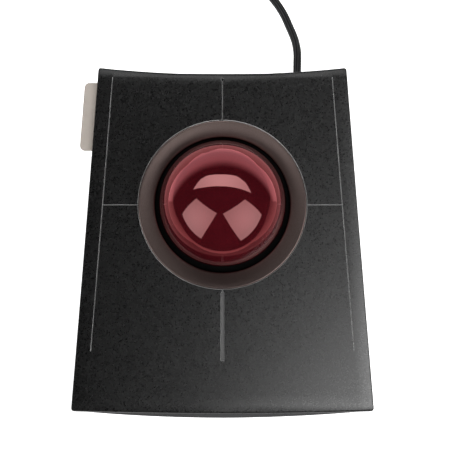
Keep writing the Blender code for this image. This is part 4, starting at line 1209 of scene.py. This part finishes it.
def make_plug_shell(start):
    """Folded metal shell with its windows, its tongue and four contacts."""
    long, wide, tall = PLUG_SHELL
    middle = start + long / 2
    inside = wide - 2 * SHELL_WALL
    roof = tall / 2 - SHELL_WALL
    bm = bmesh.new()
    add_box(bm, (middle, 0, 0), PLUG_SHELL)
    shell = new_object("plug_shell", bm, [MAT["shell"], MAT["tongue"], MAT["contact"]])
    bevel(shell, SHELL_EDGE_R, 3)
    bm = bmesh.new()
    add_box(bm, (middle + SHELL_BACK, 0, 0), (long, inside, tall - 2 * SHELL_WALL))
    cut(shell, new_object("mouth", bm, []))
    bm = bmesh.new()
    for side in (-1, 1):
        for across in (-WINDOW_ACROSS, WINDOW_ACROSS):
            add_box(bm, (start + WINDOW_AT, across, side * tall / 2), WINDOW)
    cut(shell, new_object("windows", bm, []))
    bm = bmesh.new()
    bm.from_mesh(shell.data)
    shell_faces = len(bm.faces)
    tongue = (long - TONGUE_SHORT, inside - TONGUE_NARROW, TONGUE_TALL)
    add_box(bm, (middle + TONGUE_SHIFT, 0, roof - TONGUE_DOWN), tongue)
    tongue_faces = len(bm.faces)
    for contact in range(4):
        across = (contact - 1.5) * CONTACT_STEP
        add_box(bm, (middle + SHELL_BACK, across, roof - CONTACT_DOWN), (long - CONTACT_SHORT, *CONTACT))
    bm.faces.ensure_lookup_table()
    for face in bm.faces[shell_faces:tongue_faces]:
        face.material_index = 1
    for face in bm.faces[tongue_faces:]:
        face.material_index = 2
    bm.to_mesh(shell.data)
    bm.free()
    seat(shell)
    settle(shell, "usb_plug_shell")


def make_plug():
    start = -(COIL_OUTER_R - PLUG_CHORD) + PLUG_LEAD + CLEAR
    make_plug_grip(start)
    make_plug_shell(start + PLUG_BODY[0] + CLEAR)


# ---------------------------- studio
def view_axes():
    """Right, up and backwards (towards the camera) of the photograph's view."""
    back = Vector((0, -math.cos(CAMERA_RISE), math.sin(CAMERA_RISE)))
    up = Vector((0, math.sin(CAMERA_RISE), math.cos(CAMERA_RISE)))
    return Vector((1, 0, 0)), up, back


def add_camera():
    right, up, back = view_axes()
    data = bpy.data.cameras.new("camera")
    data.sensor_width = SENSOR
    data.lens = SENSOR * BALL_IN_VIEW * math.sqrt(CAMERA_AWAY ** 2 - BALL_R ** 2) / BALL_R
    data.clip_end = 20.0
    camera = link(bpy.data.objects.new("camera", data))
    camera.location = BALL_CENTRE + back * CAMERA_AWAY
    turn = Matrix((right, up, back)).transposed().to_4x4()
    pan = Matrix.Rotation(-AIM.x / CAMERA_AWAY, 4, "Y")
    tip = Matrix.Rotation(AIM.y / CAMERA_AWAY, 4, "X")
    camera.rotation_euler = (turn @ pan @ tip).to_euler()
    bpy.context.scene.camera = camera


def emitter(name, strength, far, from_point=None, fade=(0.0, 1.0), colour=(1.0, 1.0, 1.0),
            see_through=True):
    """A glow that changes from strength to far between the two ends of fade: distances from a point
    or, without one, heights in the "height" UV map."""
    mat = bpy.data.materials.new(name)
    mat.use_nodes = True
    tree = mat.node_tree
    tree.nodes.remove(tree.nodes["Principled BSDF"])
    link_nodes = tree.links.new
    light = tree.nodes.new("ShaderNodeEmission")
    light.inputs["Color"].default_value = (*colour, 1.0)
    surface = light.outputs["Emission"]
    if see_through:
        both = tree.nodes.new("ShaderNodeAddShader")
        clear = tree.nodes.new("ShaderNodeBsdfTransparent")
        link_nodes(surface, both.inputs[0])
        link_nodes(clear.outputs["BSDF"], both.inputs[1])
        surface = both.outputs["Shader"]
    link_nodes(surface, tree.nodes["Material Output"].inputs["Surface"])
    share = tree.nodes.new("ShaderNodeMapRange")
    share.interpolation_type = "SMOOTHSTEP"
    for key, value in zip(("From Min", "From Max", "To Min", "To Max"), (*fade, strength, far)):
        share.inputs[key].default_value = value
    if from_point is None:
        uv = tree.nodes.new("ShaderNodeUVMap")
        uv.uv_map = "height"
        split = tree.nodes.new("ShaderNodeSeparateXYZ")
        link_nodes(uv.outputs["UV"], split.inputs["Vector"])
        link_nodes(split.outputs["Y"], share.inputs["Value"])
    else:
        measure = tree.nodes.new("ShaderNodeVectorMath")
        measure.operation = "DISTANCE"
        measure.inputs[1].default_value = from_point
        link_nodes(tree.nodes.new("ShaderNodeTexCoord").outputs["Object"], measure.inputs[0])
        link_nodes(measure.outputs["Value"], share.inputs["Value"])
    link_nodes(share.outputs["Result"], light.inputs["Strength"])
    return mat


def light_way(off, turn):
    """Direction off degrees away from the view's axis, turned turn degrees from the view's right."""
    right, up, back = view_axes()
    off, turn = math.radians(off), math.radians(turn)
    return back * math.cos(off) + (right * math.cos(turn) + up * math.sin(turn)) * math.sin(off)


def light_corner(off, turn, distance):
    """A point that the ball mirrors towards the camera, distance away from the ball's surface."""
    return BALL_CENTRE + light_way(off / 2, turn) * BALL_R + light_way(off, turn) * distance


def unseen(obj):
    obj.visible_camera = False
    obj.visible_shadow = False
    return obj


def softbox(name, corners, distance, strength):
    """A lit panel, dimmer towards its edges. Its corners are (degrees off the view's axis, degrees
    round it), as the ball mirrors them."""
    points = [light_corner(off, turn, distance) for off, turn in corners]
    middle = sum(points, Vector()) / len(points)
    reach = max((point - middle).length for point in points)
    mat = emitter(f"{name}_glow", strength, strength * SOFTBOX_EDGE, middle, (0.0, reach))
    bm = bmesh.new()
    bm.faces.new([bm.verts.new(point) for point in points])
    return unseen(new_object(name, bm, [mat], recalc=False))


def add_sweep():
    """The pale backdrop behind the desk: bright low down, fading upwards."""
    mat = emitter("sweep_light", 0.0, SWEEP_LIGHT, fade=(0.0, SWEEP_FULL), colour=SWEEP_WARM,
                  see_through=False)
    bm = bmesh.new()
    layer = bm.loops.layers.uv.new("height")
    rows, turns = 12, range(2, 179, 8)
    grid = []
    for row in range(rows + 1):
        share = row / rows
        line = []
        for turn in turns:
            top = SWEEP_TOP + SWEEP_SAG * abs((turn - 90) / 90) ** 2.2
            off = top + (SWEEP_FOOT - top) * share
            glow = min(share, SWEEP_FULL) * (1 - SWEEP_SIDE_LOSS * abs((turn - 90) / 90) ** 3)
            line.append((bm.verts.new(BALL_CENTRE + light_way(off, turn) * SWEEP_AWAY), glow))
        grid.append(line)
    for first, second in zip(grid, grid[1:]):
        for i in range(len(turns) - 1):
            corners = (first[i], first[i + 1], second[i + 1], second[i])
            face = bm.faces.new([vert for vert, _ in corners])
            for loop, (_, glow) in zip(face.loops, corners):
                loop[layer].uv = (0.5, glow)
    sweep = unseen(new_object("sweep", bm, [mat], 180.0, recalc=False))
    sweep.visible_diffuse = False
    shine_on(sweep, pieces_of("ball")[0])


def flat_card(name, left, right, front, rear, height, mat):
    bm = bmesh.new()
    corners = ((left, front), (right, front), (right, rear), (left, rear))
    bm.faces.new([bm.verts.new((x, y, height)) for x, y in corners])
    card = new_object(name, bm, [mat], recalc=False)
    return card


def add_floor():
    """White desk. What the pieces mirror of it is a smaller card, tinted for the ball."""
    white = bpy.data.materials.new("floor_white")
    white.use_nodes = True
    shader = white.node_tree.nodes["Principled BSDF"]
    shader.inputs["Base Color"].default_value = (FLOOR_WHITE, FLOOR_WHITE, FLOOR_WHITE, 1.0)
    shader.inputs["Roughness"].default_value = 0.9
    shader.inputs["Emission Color"].default_value = (1, 1, 1, 1)
    shader.inputs["Emission Strength"].default_value = FLOOR_WHITE
    floor = flat_card("floor", -FLOOR_HALF, FLOOR_HALF, -FLOOR_HALF, FLOOR_HALF, -0.0003, white)
    floor.visible_glossy = False
    ball, others = pieces_of("ball")
    for name, height, colour, pieces in (("desk_glow", -0.0001, (1.0, 1.0, 1.0), others),
                                         ("desk_glow_warm", -0.0002, DESK_WARM, ball)):
        glow = emitter(f"{name}_light", DESK_LIGHT, DESK_LIGHT_FAR, BALL_CENTRE, DESK_FADE, colour)
        card = flat_card(name, *DESK_REACH, height, glow)
        card.visible_camera = False
        card.visible_diffuse = False
        card.visible_shadow = False
        shine_on(card, pieces)
    add_near_glow(ball)


def add_near_glow(ball):
    """The light that the ball catches from low down all round, past the cover's edge."""
    mat = emitter("near_light", NEAR_LIGHT, NEAR_LIGHT_FAR, NEAR_FADE_POINT, NEAR_FADE, DESK_WARM)
    across, along, middle = NEAR_HOLE
    inner, outer = [], []
    bm = bmesh.new()
    for x, y in cover_outline():
        turn = math.atan2((y - middle) / along, x / across)
        outer.append(bm.verts.new((x, y, surface_z(x, y) + NEAR_RISE)))
        x, y = across * math.cos(turn), middle + along * math.sin(turn)
        inner.append(bm.verts.new((x, y, surface_z(x, y) + NEAR_RISE)))
    for i in range(len(inner)):
        bm.faces.new((inner[i - 1], outer[i - 1], outer[i], inner[i]))
    card = unseen(new_object("near_glow", bm, [mat], recalc=False))
    card.visible_diffuse = False
    shine_on(card, ball)


def shine_on(light, pieces):
    """Limits a light to some of the pieces, as a photographer's flags do."""
    group = bpy.data.collections.new(f"{light.name}_flag")
    for piece in pieces:
        group.objects.link(piece)
    light.light_linking.receiver_collection = group


def pieces_of(key):
    """The pieces made of a material, and everything else made so far."""
    meshes = [obj for obj in bpy.data.objects if obj.type == "MESH"]
    chosen = [obj for obj in meshes if obj.material_slots and obj.material_slots[0].material == MAT[key]]
    return chosen, [obj for obj in meshes if obj not in chosen]


def add_studio():
    add_floor()
    cover, others = pieces_of("cover")
    for name, corners, distance, strength, on_cover in SOFTBOXES:
        low_part = [(min(off, COVER_LIGHT_LIMIT), turn) for off, turn in corners]
        shine_on(softbox(name, corners, distance, strength), others)
        shine_on(softbox(f"{name}_flagged", low_part, distance * FLAG_AWAY, on_cover), cover)
    add_sweep()
    world = bpy.data.worlds.new("studio")
    world.use_nodes = True
    background = world.node_tree.nodes["Background"]
    background.inputs["Color"].default_value = (1, 1, 1, 1)
    background.inputs["Strength"].default_value = WORLD_LIGHT
    bpy.context.scene.world = world
    bpy.context.scene.view_settings.view_transform = "Standard"


# ---------------------------- assembly
add_camera()
place_cover()
make_slot_floor()
make_ring()
make_ball()
make_tab()
make_feet()
make_screws()
make_relief()
make_tie()
make_plug()
make_cord()
make_case()
dress(["ball_cup"], "cup")
dress(["bearing_ball_1", "bearing_ball_2", "bearing_ball_3"], "steel")
dress(["main_board", "sensor_board_left", "sensor_board_right"], "board")
dress(["optical_sensor_left", "optical_sensor_right", "controller_chip"], "chip")
dress(["sensor_lens_left", "sensor_lens_right"], "lens")
dress(["cord_header"], "header")
dress([n for n in NODES if n.startswith("switch_") and "plunger" not in n], "switch")
dress([n for n in NODES if n.startswith("switch_plunger")], "plunger")
dress(["inner_lead"], "relief")
add_studio()
